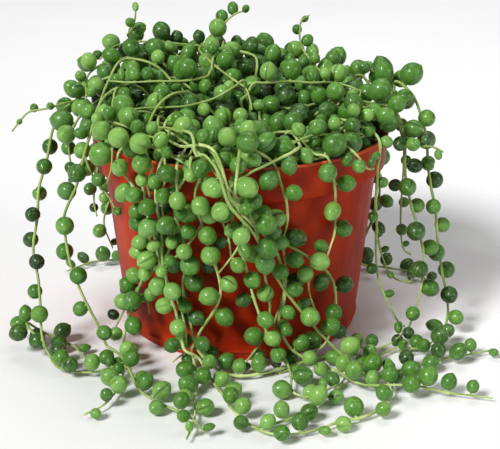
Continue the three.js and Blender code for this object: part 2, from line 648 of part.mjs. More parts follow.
// One leaf beside the stem at base, turned round the stem until it has room.
function growLeaf( base, tangent, side, size, least, otherStems ) {
	const r = Math.hypot( base.x, base.y );
	const out = new THREE.Vector3( base.x / r, base.y / r, 0 );
	const up = new THREE.Vector3( 0, 0, 1 );
	const beside = r > 70 && base.z > 12 && base.z < 108;
	let face = beside ? out : up;
	if ( Math.abs( face.dot( tangent ) ) > 0.92 ) face = beside ? up : out;
	const across = tangent.clone().cross( face ).normalize();
	const away = across.clone().cross( tangent );
	const spread = random();
	for ( let k = 0; k < pearl.tries; k ++ ) {
		const angle = side * ( least + 0.9 * spread ) + ( k % 7 ) * ( k % 2 ? 0.9 : - 0.9 );
		const radius = size * ( k < 14 ? 1 : k < 19 ? 0.85 : 0.68 );
		const direction = away.clone().multiplyScalar( Math.cos( angle ) );
		direction.addScaledVector( across, Math.sin( angle ) );
		const centre = base.clone().addScaledVector( direction, pearl.petiole + radius );
		if ( hasRoom( centre, radius, otherStems ) ) return { base, direction, centre, radius };
	}
	return null;
}

function isBuried( { x, y, z } ) {
	return Math.hypot( x, y ) < 74 && z < heapHeight( x, y ) - pearl.buried;
}

// The space over the stems that show on top of the heap, where no leaves grow.
function openPoints( { lines, strands } ) {
	const points = [];
	lines.forEach( ( line, index ) => {
		for ( const away of pearl.openSteps.slice( 0, strands[ index ].shown ?? 0 ) ) {
			for ( const point of line.filter( ( { z } ) => z > 96 ) ) {
				points.push( point.clone().addScaledVector( new THREE.Vector3( ...pearl.open ), away ) );
			}
		}
	} );
	return points;
}

function growLeaves( vine, otherStems ) {
	vine.lines.forEach( ( line, index ) => {
		const { size = pearl.radius, gap = pearl.fallGap, shown } = vine.strands[ index ];
		const arc = [ 0 ];
		for ( let i = 1; i < line.length; i ++ ) {
			arc.push( arc[ i - 1 ] + line[ i ].distanceTo( line[ i - 1 ] ) );
		}
		const total = arc.at( - 1 );
		let along = index === 0 ? 9 : 6;
		let side = 1;
		let i = 0;
		while ( along < total - 1 ) {
			while ( arc[ i + 1 ] < along ) i ++;
			const tangent = line[ i + 1 ].clone().sub( line[ i ] ).normalize();
			const base = line[ i ].clone().addScaledVector( tangent, along - arc[ i ] );
			const r = Math.hypot( base.x, base.y );
			const onHeap = base.z > 104 && r < 85;
			const onFloor = base.z < 12 && r > 74;
			const place = onHeap ? pearl.crownSize : onFloor ? pearl.floorSize : 1;
			const taper = Math.min( 1, 0.5 + 0.5 * ( total - along ) / 22 );
			const full = size * taper * ( 0.84 + 0.3 * random() ) * place;
			const least = onHeap && shown ? pearl.under : pearl.beside;
			const leaf = growLeaf( base, tangent, side, full, least, otherStems );
			if ( leaf ) {
				grown.push( leaf );
				leaf.strand = index;
				leaf.solid = leaf.radius >= pearl.solidFrom && ! ( onHeap && ( side > 0 || isBuried( leaf.centre ) ) );
				vine.pearls.push( leaf );
			}
			side = - side;
			const spacing = onHeap ? pearl.crownGap : onFloor ? pearl.floorGap : gap;
			along += spacing * ( 0.85 + 0.3 * random() );
		}
	} );
}

// ---- solids ----

function toSolid( geometry ) {
	geometry.deleteAttribute( 'normal' );
	geometry.deleteAttribute( 'uv' );
	const merged = mergeVertices( geometry, 1e-4 );
	const mesh = new wasm.Mesh( {
		numProp: 3,
		vertProperties: new Float32Array( merged.attributes.position.array ),
		triVerts: new Uint32Array( merged.index.array ),
	} );
	return new wasm.Manifold( mesh );
}

function toGeometry( solid ) {
	const { vertProperties, triVerts } = solid.getMesh();
	const geometry = new THREE.BufferGeometry();
	geometry.setAttribute( 'position', new THREE.BufferAttribute( vertProperties, 3 ) );
	geometry.setIndex( new THREE.BufferAttribute( triVerts, 1 ) );
	geometry.computeVertexNormals();
	return geometry;
}

// A path of straight stretches, so that an extrusion takes its steps at the path's own points.
class StemPath extends THREE.Curve {

	constructor( points ) {
		super();
		this.points = points;
	}

	getPoint( t, target = new THREE.Vector3() ) {
		const place = t * ( this.points.length - 1 );
		const i = Math.min( Math.floor( place ), this.points.length - 2 );
		return target.lerpVectors( this.points[ i ], this.points[ i + 1 ], place - i );
	}

	getUtoTmapping( u ) {
		return u;
	}

}

// The fewest of a line's points that keep within stem.coarse of it.
function coarseLine( line ) {
	const chord = new THREE.Line3( line[ 0 ], line.at( - 1 ) );
	const foot = new THREE.Vector3();
	const offsets = line.map( ( point ) => chord.closestPointToPoint( point, true, foot ).distanceTo( point ) );
	const widest = Math.max( ...offsets );
	if ( widest <= stem.coarse ) return [ line[ 0 ], line.at( - 1 ) ];
	const split = offsets.indexOf( widest );
	return [ ...coarseLine( line.slice( 0, split + 1 ) ), ...coarseLine( line.slice( split ) ).slice( 1 ) ];
}

const stemSection = new THREE.Shape( [ 0, 1, 2 ].map( ( corner ) => {
	const turn = 2 * Math.PI * corner / 3;
	return new THREE.Vector2( stem.radius * Math.cos( turn ), stem.radius * Math.sin( turn ) );
} ) );

function stemSolid( points ) {
	return toSolid( new THREE.ExtrudeGeometry( stemSection, {
		extrudePath: new StemPath( points ),
		steps: points.length - 1,
		curveSegments: 1,
		bevelEnabled: false,
	} ) );
}

function closestOnLine( line, point ) {
	let closest = line[ 0 ];
	for ( let i = 1; i < line.length; i ++ ) {
		const foot = new THREE.Vector3();
		new THREE.Line3( line[ i - 1 ], line[ i ] ).closestPointToPoint( point, true, foot );
		if ( foot.distanceTo( point ) < closest.distanceTo( point ) ) closest = foot;
	}
	return closest;
}

// Two three-sided points base to base: one starts in the stem, the other ends at the leaf's tip.
function leafSolid( { base, direction, centre, radius }, line ) {
	const start = closestOnLine( line, base );
	const tip = centre.clone().addScaledVector( direction, radius + pearl.point );
	const axis = tip.clone().sub( start );
	const half = axis.length() / 2;
	const outline = [ new THREE.Vector2( 0, - half ), new THREE.Vector2( radius, 0 ), new THREE.Vector2( 0, half ) ];
	const geometry = new THREE.LatheGeometry( outline, 3 );
	const upright = new THREE.Vector3( 0, 1, 0 );
	geometry.applyQuaternion( new THREE.Quaternion().setFromUnitVectors( upright, axis.normalize() ) );
	const middle = start.clone().addScaledVector( axis, half );
	geometry.translate( middle.x, middle.y, middle.z );
	return toSolid( geometry );
}

function vineMesh( { name, lines, pearls } ) {
	const coarse = lines.map( coarseLine );
	const leaves = pearls.filter( ( leaf ) => leaf.solid );
	const solids = [ ...coarse.map( stemSolid ), ...leaves.map( ( leaf ) => leafSolid( leaf, coarse[ leaf.strand ] ) ) ];
	const material = new THREE.MeshStandardMaterial( { color: 0x4f8f36, roughness: 0.4, metalness: 0 } );
	const mesh = new THREE.Mesh( toGeometry( wasm.Manifold.union( solids ) ), material );
	mesh.name = `vine_${ name }`;
	return mesh;
}

function lathe( outline, sides ) {
	const geometry = new THREE.LatheGeometry( outline.map( ( [ r, z ] ) => new THREE.Vector2( r, z ) ), sides );
	geometry.rotateX( Math.PI / 2 );
	return toSolid( geometry );
}

const rimFoot = pot.height - pot.rimDepth;
const lineRadius = pot.baseRadius + ( pot.shoulderRadius - pot.baseRadius ) * pot.lineHeight / rimFoot;

// The pot: a tapered body with a raised line low down, a deep rim band and holes in the floor.
function potMesh() {
	let shell = lathe( [
		[ 0, 0 ],
		[ pot.baseRadius - pot.baseEdge, 0 ],
		[ pot.baseRadius, pot.baseEdge ],
		[ lineRadius, pot.lineHeight - pot.lineStep ],
		[ lineRadius + pot.lineStep, pot.lineHeight ],
		[ lineRadius + pot.lineStep / 2, pot.lineHeight + pot.lineStep ],
		[ pot.shoulderRadius, rimFoot - 1 ],
		[ pot.rimFootRadius - 0.5, rimFoot - 0.4 ],
		[ pot.rimFootRadius, rimFoot + 0.4 ],
		[ pot.rimRadius, pot.height - 0.5 ],
		[ pot.rimRadius - 0.5, pot.height ],
		[ pot.rimRadius - pot.wall + 0.3, pot.height ],
		[ pot.rimRadius - pot.wall, pot.height - 0.4 ],
		[ pot.rimFootRadius - pot.wall, rimFoot + pot.wall ],
		[ pot.shoulderRadius - pot.wall, rimFoot + pot.wall - 0.4 ],
		[ pot.baseRadius - pot.wall, pot.floor ],
		[ 0, pot.floor ],
	], pot.sides );
	for ( let i = 0; i < drain.count; i ++ ) {
		const hole = new THREE.CylinderGeometry( drain.radius, drain.radius, 4 * pot.floor, drain.sides );
		hole.rotateX( Math.PI / 2 );
		const middle = at( 360 * i / drain.count, drain.ring, pot.floor / 2 );
		hole.translate( middle.x, middle.y, middle.z );
		shell = shell.subtract( toSolid( hole ) );
	}
	const material = new THREE.MeshStandardMaterial( { color: 0xb4452e, roughness: 0.35, metalness: 0 } );
	const mesh = new THREE.Mesh( toGeometry( shell ), material );
	mesh.name = 'pot';
	return mesh;
}

// The soil fills the pot to just under the rim and stands on its floor.
function soilMesh() {
	const inset = pot.wall + soil.gap;
	const edge = soil.top - soil.edgeDrop;
	const rimTaper = ( pot.rimRadius - pot.rimFootRadius ) * ( edge - rimFoot ) / pot.rimDepth;
	const plug = lathe( [
		[ 0, pot.floor + soil.gap ],
		[ pot.baseRadius - inset, pot.floor + soil.gap ],
		[ pot.shoulderRadius - inset, rimFoot + pot.wall ],
		[ pot.rimFootRadius - inset, rimFoot + pot.wall + soil.gap ],
		[ pot.rimFootRadius + rimTaper - inset - 0.2, edge ],
		[ pot.rimFootRadius - inset, soil.top ],
		[ 0, soil.top ],
	], pot.sides );
	const material = new THREE.MeshStandardMaterial( { color: 0x3b2a20, roughness: 1, metalness: 0 } );
	const mesh = new THREE.Mesh( toGeometry( plug ), material );
	mesh.name = 'soil';
	return mesh;
}

const laidVines = layVines();
const keptOpen = laidVines.flatMap( openPoints );
for ( const vine of laidVines ) {
	const otherStems = laidVines.filter( ( other ) => other !== vine ).flatMap( ( { lines } ) => lines.flat() );
	growLeaves( vine, [ ...otherStems, ...keptOpen ] );
}

const plant = new THREE.Group();
plant.add( potMesh(), soilMesh(), ...laidVines.map( vineMesh ) );

export default plant;
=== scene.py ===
import math

import bmesh
import bpy
import numpy as np
from mathutils import Matrix, Vector, noise


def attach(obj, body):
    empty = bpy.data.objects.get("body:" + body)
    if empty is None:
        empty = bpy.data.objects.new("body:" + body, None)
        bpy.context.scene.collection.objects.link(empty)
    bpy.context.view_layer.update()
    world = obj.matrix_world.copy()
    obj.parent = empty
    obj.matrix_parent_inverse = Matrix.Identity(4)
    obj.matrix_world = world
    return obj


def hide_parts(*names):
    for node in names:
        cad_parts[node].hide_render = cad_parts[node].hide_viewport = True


# A string of pearls in a terracotta-red plastic nursery pot. Sizes are in millimetres unless
# a note says otherwise, and mm turns them into Blender's metres.

mm = 0.001
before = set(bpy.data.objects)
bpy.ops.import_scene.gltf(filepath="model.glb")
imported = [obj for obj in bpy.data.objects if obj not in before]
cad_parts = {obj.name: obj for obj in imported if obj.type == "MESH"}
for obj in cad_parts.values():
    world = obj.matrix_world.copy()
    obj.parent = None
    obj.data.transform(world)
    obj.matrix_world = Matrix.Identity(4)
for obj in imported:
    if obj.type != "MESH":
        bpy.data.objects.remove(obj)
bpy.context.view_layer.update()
print("frame loaded:", len(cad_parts), "nodes")

view = {
    "lens": 95.8,
    "sensor": 36,
    "distance": 0.7,  # metres from the aim to the camera
    "elevation": 20.2,  # degrees above the floor
    "aim": (0.0049, 0, 0.0499),
}


def placeCamera():
    data = bpy.data.cameras.new("camera")
    data.lens = view["lens"]
    data.sensor_width = view["sensor"]
    data.sensor_fit = "HORIZONTAL"
    camera = bpy.data.objects.new("camera", data)
    tilt = math.radians(view["elevation"])
    back = Vector((0, -math.cos(tilt), math.sin(tilt)))
    camera.location = Vector(view["aim"]) + back * view["distance"]
    camera.rotation_euler = (math.pi / 2 - tilt, 0, 0)
    bpy.context.scene.collection.objects.link(camera)
    bpy.context.scene.camera = camera


placeCamera()

# What settles where the vines run and where their leaves grow
potSize = {
    "height": 105,
    "rimRadius": 76,
    "rimDepth": 17,
    "rimFootRadius": 74.6,
    "shoulderRadius": 70.5,
    "baseRadius": 60.5,
    "wall": 1.4,
    "floor": 2,
}
heapSize = {
    "foot": 104,
    "rise": 25,
    "lean": 0.004,
    "centre": (-8, 26),
    "width": 92,
    "depth": 66,
    "clear": 4,  # from the soil to level 0 of a route
}
soilTop = 99
soilGap = 0.3

stemLay = {
    "step": 3,  # from point to point along a stem
    "space": 3.1,  # between the middles of two stems
    "wallGap": 1.3,
    "floorGap": 1,
    "rootHeight": 7,
    "fixed": 2,  # points at a stem's foot that stay
    "reach": 7,  # points lifted with one that lies too low, to either side
    "passes": 30,
    "enough": 0.01,  # a gap may be so much too small
    "pull": 0.6,  # share made up in a pass, with nudge on top
    "nudge": 0.05,
    "near": 10,
    "beside": 70,  # further out a stem hangs beside the pot, between two heights
    "top": (112, 14),  # the height, and how softly it sets in
    "foot": (4, 10),
    "sameWay": 0.75,  # a stem that runs so nearly the way it is lifted moves aside
}
leafLay = {
    "radius": 4.4,
    "sizeSpread": (0.84, 0.3),  # least share, and what chance adds
    "gapSpread": (0.85, 0.3),
    "petiole": 1.1,
    "bare": (9, 6, 1),  # no leaves so near to a root, a side shoot's foot and a tip
    "taper": 22,  # leaves shrink to half so far from the tip on
    "heap": {"height": 104, "edge": 85, "gap": 6.6, "size": 1.17},
    "surface": {"height": 12, "edge": 74, "gap": 9.8, "size": 0.95},
    "fall": {"gap": 12, "size": 1},
    "beside": 0.9,  # least angle of a leaf from above its stem
    "under": 1.45,  # the same where the stem shows on top of the heap
    "fan": 0.9,  # spread of that angle
    "turn": 0.9,  # a try turns the leaf to either side by none to six of these
    "turns": 7,
    "tries": (1,) * 14 + (0.85,) * 5 + (0.68,) * 5,  # share of the full size, try by try
    "apart": 0.25,
    "fromStem": 1.25,
    "fromWall": 0.35,
    "fromFloor": 0.3,
    "outwards": (70, 12, 108),  # from this distance on, between two heights, leaves stand out
    "sameWay": 0.92,
    "open": (0, -0.87, 0.5),  # no leaf lies on a shown stem from this side
    "openSteps": (4, 8, 12, 16),
    "openFrom": 96,
}

# root: angle from the front and distance from the axis where a vine leaves the soil.
# over: angle, distance and level on the heap, 0 at the soil and 1 at its top.
# fall: angle, distance and height, beside the pot and along the surface.
# gap and size: from leaf to leaf and a leaf's radius, where they aren't the usual ones.
# shown: a stem on top of the heap, and how many of the steps above it are kept open.
# A second strand is a side shoot, which parts from the main stem at its first point.
vineRoutes = {
    "front_01": [dict(root=(-20, 25), gap=10.5, over=[(-19, 45, 0.95), (-17, 66, 1)], fall=[
        (-16, 80, 110), (-16, 83, 105), (-20, 84, 95), (-22, 80, 82), (-20, 78, 72), (-20, 75, 56),
        (-22, 73, 42), (-20, 71, 26), (-17, 73, 12), (-8, 77, 3), (0, 83, 3), (12, 79, 3), (22, 75, 3),
        (33, 74, 3), (42, 79, 3), (46, 90, 3), (57, 94, 3), (60, 105, 3), (69, 113, 3)])],
    "front_02": [dict(root=(-50, 25), gap=9, over=[(-46, 42, 0.95)], fall=[(-39, 57, 116),
        (-26, 64, 114), (-13, 82, 114), (-8, 88, 108), (-3, 91, 101), (0, 90, 94), (1, 87, 84),
        (1, 83, 74), (-2, 82, 65), (-7, 80, 55)])],
    "front_03": [dict(root=(-15, 22), gap=9, over=[(-15, 45, 0.9), (-14, 66, 1)], fall=[(-11, 81, 110),
        (-12, 84, 104), (-14, 83, 95), (-14, 78, 83), (-11, 76, 67), (-8, 76, 54), (-7, 74, 44),
        (-9, 73, 34), (-15, 71, 21), (-18, 73, 8), (-13, 90, 3), (-11, 109, 3), (-9, 128, 3),
        (-9, 146, 3)]),
    dict(gap=9, fall=[(-13, 77, 78), (-18, 79, 67), (-24, 79, 58), (-32, 75, 47), (-38, 73, 36),
        (-39, 71, 23)])],
    "front_04": [dict(root=(-40, 35), gap=9, over=[(-42, 55, 0.95), (-43, 70, 1)], fall=[(-43, 82, 109),
        (-44, 82, 102), (-39, 82, 95), (-35, 79, 85), (-34, 76, 76), (-30, 76, 65), (-27, 75, 52),
        (-24, 72, 37), (-20, 71, 20), (-20, 74, 7), (-24, 80, 3)])],
    "front_05": [dict(root=(-11, 34), gap=13, over=[(-7, 53, 1)], fall=[(-2, 72, 116), (5, 80, 115),
        (11, 81, 109), (14, 79, 98), (16, 79, 89), (17, 76, 78), (16, 74, 67), (18, 72, 50),
        (17, 70, 36), (14, 69, 22), (16, 71, 10)]),
    dict(gap=12.5, fall=[(16, 74, 67), (21, 76, 63), (28, 76, 56), (36, 75, 45), (40, 73, 33),
        (40, 72, 20), (34, 73, 8), (24, 77, 3), (13, 84, 3)]),
    dict(gap=10, fall=[(27, 76, 57), (27, 73, 42), (29, 72, 33), (32, 72, 25)]),
    dict(fall=[(40, 74, 20), (44, 76, 10), (48, 80, 4), (49, 88, 3), (56, 92, 3)])],
    "front_06": [dict(root=(34, 28), gap=11, over=[(32, 50, 0.95), (31, 68, 1)], fall=[(31, 79, 108),
        (33, 80, 99), (36, 77, 88), (37, 75, 78), (37, 74, 69), (33, 74, 60), (31, 74, 54)]),
    dict(gap=8, size=4.2, over=[(33, 58, 1)], fall=[(38, 73, 113), (39, 81, 111), (40, 87, 107),
        (42, 89, 102), (45, 89, 101)])],
    "front_07": [dict(root=(-24, 28), gap=9, over=[(-23, 48, 0.9), (-21, 66, 1)], fall=[(-20, 81, 109),
        (-19, 84, 100), (-19, 80, 87), (-23, 77, 75), (-26, 76, 62), (-33, 75, 50), (-43, 73, 37),
        (-52, 73, 22), (-58, 76, 7)])],
    "front_08": [dict(root=(-38, 32), gap=8.5, size=5, over=[(-34, 52, 0.95)], fall=[(-28, 70, 115),
        (-25, 81, 112), (-23, 86, 103), (-25, 84, 93), (-27, 79, 80), (-26, 77, 70)])],
    "front_09": [dict(root=(-28, 40), gap=10, over=[(-26, 54, 1), (-24, 67, 1)], fall=[(-26, 79, 109),
        (-27, 83, 98), (-27, 80, 80), (-26, 77, 60), (-24, 75, 38), (-20, 74, 16), (-14, 78, 4),
        (-5, 100, 3), (-1, 119, 3), (3, 134, 3), (7, 141, 3), (12, 141, 3), (18, 137, 3)]),
    dict(fall=[(4, 133, 3), (7, 131, 3), (12, 125, 3), (17, 117, 3), (24, 109, 3), (32, 97, 3)]),
    dict(fall=[(17, 139, 3), (19, 136, 3), (24, 136, 3), (30, 132, 3), (34, 126, 3), (39, 115, 3),
        (45, 101, 3)])],
    "front_10": [dict(root=(-48, 35), gap=9.5, over=[(-47, 55, 0.95), (-44, 70, 1)], fall=[
        (-35, 80, 114), (-31, 82, 109), (-33, 83, 99), (-33, 80, 86), (-32, 78, 72), (-33, 77, 61),
        (-37, 75, 47), (-43, 75, 30), (-48, 77, 14), (-44, 83, 4), (-37, 93, 3), (-31, 112, 3),
        (-29, 128, 3), (-30, 141, 3)]),
    dict(gap=8, fall=[(-27, 81, 110), (-28, 85, 105), (-30, 85, 98), (-30, 83, 90)])],
    "front_11": [dict(root=(30, 45), gap=12, shown=1, over=[(27, 62, 1)], fall=[(22, 74, 113),
        (16, 82, 113), (9, 85, 110), (3, 86, 106), (-3, 86, 99), (-6, 82, 90), (-6, 77, 80),
        (-4, 76, 72), (-3, 74, 60)])],
    "front_12": [dict(root=(0, 25), gap=11.5, over=[(0, 45, 0.9)], fall=[(2, 66, 112), (1, 81, 110),
        (0, 85, 105), (-2, 84, 92), (-2, 79, 80), (0, 76, 68), (3, 74, 52), (6, 73, 36), (11, 73, 19),
        (16, 75, 7), (16, 88, 3), (14, 104, 3), (17, 113, 3), (25, 108, 3)])],
    "front_13": [dict(root=(-6, 20), gap=9.5, over=[(-10, 46, 0.9)], fall=[(-10, 66, 112),
        (-10, 81, 109), (-6, 84, 103), (1, 82, 92), (5, 76, 79), (8, 73, 62), (10, 72, 47), (12, 70, 33),
        (11, 70, 22), (7, 70, 12), (2, 71, 4), (-1, 78, 3)])],
    "front_14": [dict(root=(-54, 40), gap=13, shown=1, over=[(-47, 53, 1)], fall=[(-37, 63, 113),
        (-27, 69, 113), (-15, 84, 112), (-8, 86, 106), (-2, 86, 98), (2, 85, 89), (7, 79, 77),
        (13, 76, 64), (16, 73, 50), (17, 71, 38), (15, 71, 25), (18, 73, 14), (23, 77, 5), (29, 92, 3),
        (30, 108, 3), (35, 120, 3), (41, 129, 3), (44, 139, 3), (48, 158, 3)])],
    "left_01": [dict(root=(-60, 35), gap=8, size=5, over=[(-58, 55, 0.95), (-59, 70, 1)], fall=[
        (-50, 79, 110), (-45, 81, 101), (-47, 83, 92)])],
    "left_02": [dict(root=(-85, 35), gap=7.5, over=[(-84, 55, 0.9)], fall=[(-82, 76, 117),
        (-77, 83, 112), (-74, 88, 103), (-73, 88, 91), (-72, 86, 82)])],
    "left_03": [dict(root=(-100, 40), gap=12.5, over=[(-98, 55, 0.8), (-95, 70, 0.9)], fall=[
        (-90, 84, 117), (-87, 90, 113), (-84, 95, 105), (-78, 99, 92), (-76, 104, 78), (-73, 106, 66),
        (-70, 110, 50), (-66, 110, 37), (-62, 112, 24), (-58, 115, 14), (-57, 113, 5), (-50, 115, 3),
        (-44, 110, 3), (-39, 103, 3), (-37, 93, 3)]),
    dict(gap=9, size=2.6, fall=[(-90, 84, 117), (-86, 90, 117), (-85, 99, 115), (-86, 107, 113),
        (-86, 112, 108), (-86, 116, 103)]),
    dict(gap=6, size=4.4, fall=[(-57, 114, 8), (-62, 118, 15), (-68, 116, 13), (-70, 109, 6),
        (-64, 102, 4), (-57, 98, 4), (-51, 100, 3)])],
    "left_04": [dict(root=(-105, 25), gap=14, shown=4, over=[(-112, 45, 0.9)], fall=[(-108, 63, 134),
        (-86, 67, 127), (-70, 76, 114), (-63, 85, 100), (-62, 90, 86), (-62, 97, 72), (-61, 98, 64),
        (-58, 98, 49), (-54, 96, 35), (-50, 92, 20), (-46, 88, 5), (-38, 92, 3), (-26, 108, 3),
        (-18, 117, 3), (-10, 130, 3), (-6, 142, 3)]),
    dict(gap=9, fall=[(-63, 85, 100), (-60, 83, 91), (-57, 80, 85), (-53, 78, 79), (-51, 77, 73)])],
    "right_01": [dict(root=(80, 42), gap=11, size=3.2, over=[(80, 60, 1)], fall=[(81, 77, 112),
        (81, 83, 100), (79, 84, 87), (77, 84, 75), (76, 84, 62), (76, 85, 49), (76, 87, 43),
        (77, 90, 41)])],
    "right_02": [dict(root=(60, 35), gap=15, size=2.6, over=[(60, 55, 0.95), (60, 68, 1)], fall=[
        (57, 79, 108), (55, 81, 98), (55, 81, 90), (57, 79, 76), (62, 77, 62), (62, 77, 49),
        (61, 79, 37), (61, 83, 27), (61, 88, 18), (66, 90, 8), (74, 89, 3)]),
    dict(gap=13, size=2.4, fall=[(62, 77, 62), (67, 77, 47), (68, 81, 36), (69, 86, 31), (71, 93, 30)])],
    "right_03": [dict(root=(75, 35), gap=11, over=[(77, 55, 0.95), (80, 68, 1)], fall=[(80, 78, 112),
        (76, 84, 100), (74, 86, 85), (72, 90, 71), (70, 96, 56), (69, 99, 44), (67, 99, 31),
        (65, 97, 18), (66, 92, 6), (60, 93, 3), (56, 93, 3)]),
    dict(gap=6.5, fall=[(80, 78, 112), (76, 84, 106), (74, 88, 103), (73, 93, 101), (74, 98, 101),
        (75, 104, 98)])],
    "right_04": [dict(root=(95, 40), gap=11.5, over=[(92, 56, 0.9), (90, 68, 1)], fall=[(90, 78, 127),
        (87, 87, 121), (85, 92, 110), (84, 95, 99), (83, 96, 87), (82, 98, 76), (81, 101, 64),
        (80, 103, 48), (79, 106, 32), (77, 110, 16), (74, 110, 5), (63, 109, 3), (58, 105, 3),
        (53, 97, 3)])],
    "rim_01": [dict(root=(-160, 58), over=[(-152, 66, 1)], fall=[(-140, 73, 124), (-125, 76, 127),
        (-108, 78, 129), (-92, 78, 128), (-78, 78, 122)])],
    "rim_02": [dict(root=(-80, 56), over=[(-76, 66, 1)], fall=[(-68, 76, 118), (-58, 79, 114),
        (-48, 81, 111), (-37, 82, 109), (-27, 83, 107), (-17, 84, 105)])],
    "rim_03": [dict(root=(52, 56), over=[(58, 66, 1)], fall=[(68, 74, 114), (80, 77, 119), (94, 78, 123),
        (108, 78, 125), (122, 76, 124)])],
    "rim_04": [dict(root=(128, 56), over=[(134, 66, 1)], fall=[(144, 74, 122), (158, 77, 122),
        (173, 78, 122), (188, 77, 122), (202, 76, 122)])],
    "rim_05": [dict(root=(-84, 54), over=[(-78, 62, 0.9)], fall=[(-70, 70, 112), (-60, 74, 110),
        (-49, 76, 108.5), (-38, 77, 108), (-27, 77, 108)])],
    "rim_06": [dict(root=(84, 54), over=[(76, 62, 0.8), (64, 66, 0.6), (52, 67, 0.6), (40, 67, 0.6),
        (29, 67, 0.6), (18, 68, 0.6)])],
    "top_01": [dict(root=(172, 26), shown=4, over=[(167, 38, 1.05), (-179, 47, 1.15), (-167, 52, 1.15),
        (-158, 57, 1.16), (-146, 64, 1.16), (-138, 70, 1.18), (-131, 76, 1.18), (-122, 78, 1.1),
        (-112, 80, 0.9)]),
    dict(shown=4, over=[(-158, 57, 1.16), (-147, 40, 1.16), (-128, 20, 1.16), (-98, 10, 1.15),
        (-26, 8, 1.15), (11, 14, 1.15), (13, 21, 1.12), (12, 28, 1.08)]),
    dict(gap=7, size=4, over=[(-131, 76, 1.18)], fall=[(-119, 68, 144), (-117, 64, 147), (-116, 62, 150),
        (-115, 60, 155), (-114, 59, 160)])],
    "top_02": [dict(root=(30, 12), shown=4, over=[(10, 13, 1.08), (-5, 18, 1.14), (-23, 25, 1.15),
        (-35, 32, 1.15), (-42, 39, 1.15), (-49, 47, 1.15), (-55, 57, 1.15), (-58, 64, 1.12)])],
    "top_03": [dict(root=(-120, 14), shown=4, over=[(-95, 15, 1.1), (-68, 18, 1.15), (-66, 29, 1.15),
        (-69, 37, 1.15), (-72, 45, 1.15), (-75, 56, 1.15), (-81, 66, 1.12)]),
    dict(gap=8, size=3.9, over=[(-95, 15, 1.1)], fall=[(-168, 44, 138), (-167, 50, 143), (-171, 49, 148),
        (-177, 49, 152), (175, 49, 154)])],
    "top_04": [dict(root=(-10, 10), shown=4, over=[(20, 14, 1.12), (43, 16, 1.15), (69, 20, 1.15),
        (84, 26, 1.16), (90, 36, 1.16), (99, 46, 1.15), (99, 54, 1.14), (94, 59, 1.13), (83, 61, 1.1),
        (74, 61, 1.08)]),
    dict(gap=8, size=3, over=[(99, 46, 1.15)], fall=[(140, 52, 134), (142, 51, 140), (142, 51, 146),
        (141, 51, 150), (137, 53, 153)])],
    "top_05": [dict(root=(-70, 10), gap=14, shown=1, over=[(-60, 30, 0.95)], fall=[(-43, 63, 116),
        (-25, 72, 114), (-13, 87, 112), (-8, 89, 105), (-2, 89, 97), (3, 85, 84), (8, 80, 66),
        (13, 78, 51), (20, 79, 36), (30, 85, 17), (36, 95, 5), (36, 107, 3), (39, 113, 3), (48, 112, 3),
        (56, 118, 3), (67, 138, 3)])],
}

crownLay = {  # turn is how far a vine winds round the axis
    "edge": {"count": 4, "first": 25, "turn": 84, "level": 0.22},
    "low": {"count": 5, "first": 20, "turn": -75, "level": 0.35, "inner": (14, 20, 26), "outer": 66},
    "middle": {"count": 5, "first": 50, "turn": 70, "level": 0.68, "inner": (12, 20), "outer": 70},
}
windLay = {
    "legs": 5,
    "bend": 0.8,  # below 1, the points crowd towards the edge
    "ahead": 0.15,  # share of the turn before the first point
    "start": 0.75,  # share of its level there, in full from the third point on
    "root": (0.8, 4),  # share of that point's distance, and how much further
}
edgeLay = {"legs": 6, "radius": 66, "sway": 2, "root": (5, 54)}
backLay = {
    "first": 124,  # angle from the front
    "between": 14,
    "feet": (  # height of each vine's end and of its side shoot's
        (3, 68), (50, 68), (12, 47), (3, 68), (62, 40), (3, 68), (34, 74), (3, 68), (20, 44),
    ),
    "root": (-6, 32),
    "over": ((-3, 52, 0.9), (0, 68, 1)),
    "rim": ((79, 119), (86, 104)),  # distance and height
    "drop": (87, 17, 16),  # height of the next point, step down and lowest height
    "wall": (84, 0.07),  # distance there, and how much more for each millimetre down
    "wave": 19,
    "sway": 7,
    "low": 5,  # a vine that ends under this height runs out along the surface
    "landing": (88, 6),
    "run": ((0.5, 99), (1.6, 108), (3, 112)),  # share of the sway, distance
    "shoot": (8, -0.7),  # turned by so much, with this share of the sway
    "gaps": (10.5, 10),
}


def windingVine(azimuth, turn, level, inner, outer):
    over = []
    for j in range(windLay["legs"] + 1):
        share = j / windLay["legs"]
        radius = inner + (outer - inner) * share ** windLay["bend"]
        height = windLay["start"] + (1 - windLay["start"]) * min(1, j / 2)
        over.append((azimuth + turn * (windLay["ahead"] + share), radius, level * height))
    share, further = windLay["root"]
    return [dict(root=(azimuth, inner * share + further), over=over)]


def edgeVine(azimuth, turn, level):
    over = []
    for j in range(edgeLay["legs"] + 1):
        radius = edgeLay["radius"] + edgeLay["sway"] * math.sin(2 * j)
        over.append((azimuth + turn * j / edgeLay["legs"], radius, level))
    back, distance = edgeLay["root"]
    return [dict(root=(azimuth - math.copysign(back, turn), distance), over=over)]


def fallBehind(azimuth, foot, sway):
    rim, below = backLay["rim"]
    fall = [(azimuth, *rim), (azimuth + sway / 3, *below)]
    start, step, lowest = backLay["drop"]
    wall, more = backLay["wall"]
    angle = azimuth
    for z in range(start, max(foot, lowest), -step):
        angle = azimuth + sway * math.sin(z / backLay["wave"] + azimuth)
        fall.append((angle, wall + (start - z) * more, z))
    if foot > backLay["low"]:
        return fall + [(angle + sway / 4, wall, foot)]
    fall.append((angle, *backLay["landing"]))
    return fall + [(angle + sway * share, radius, foot) for share, radius in backLay["run"]]


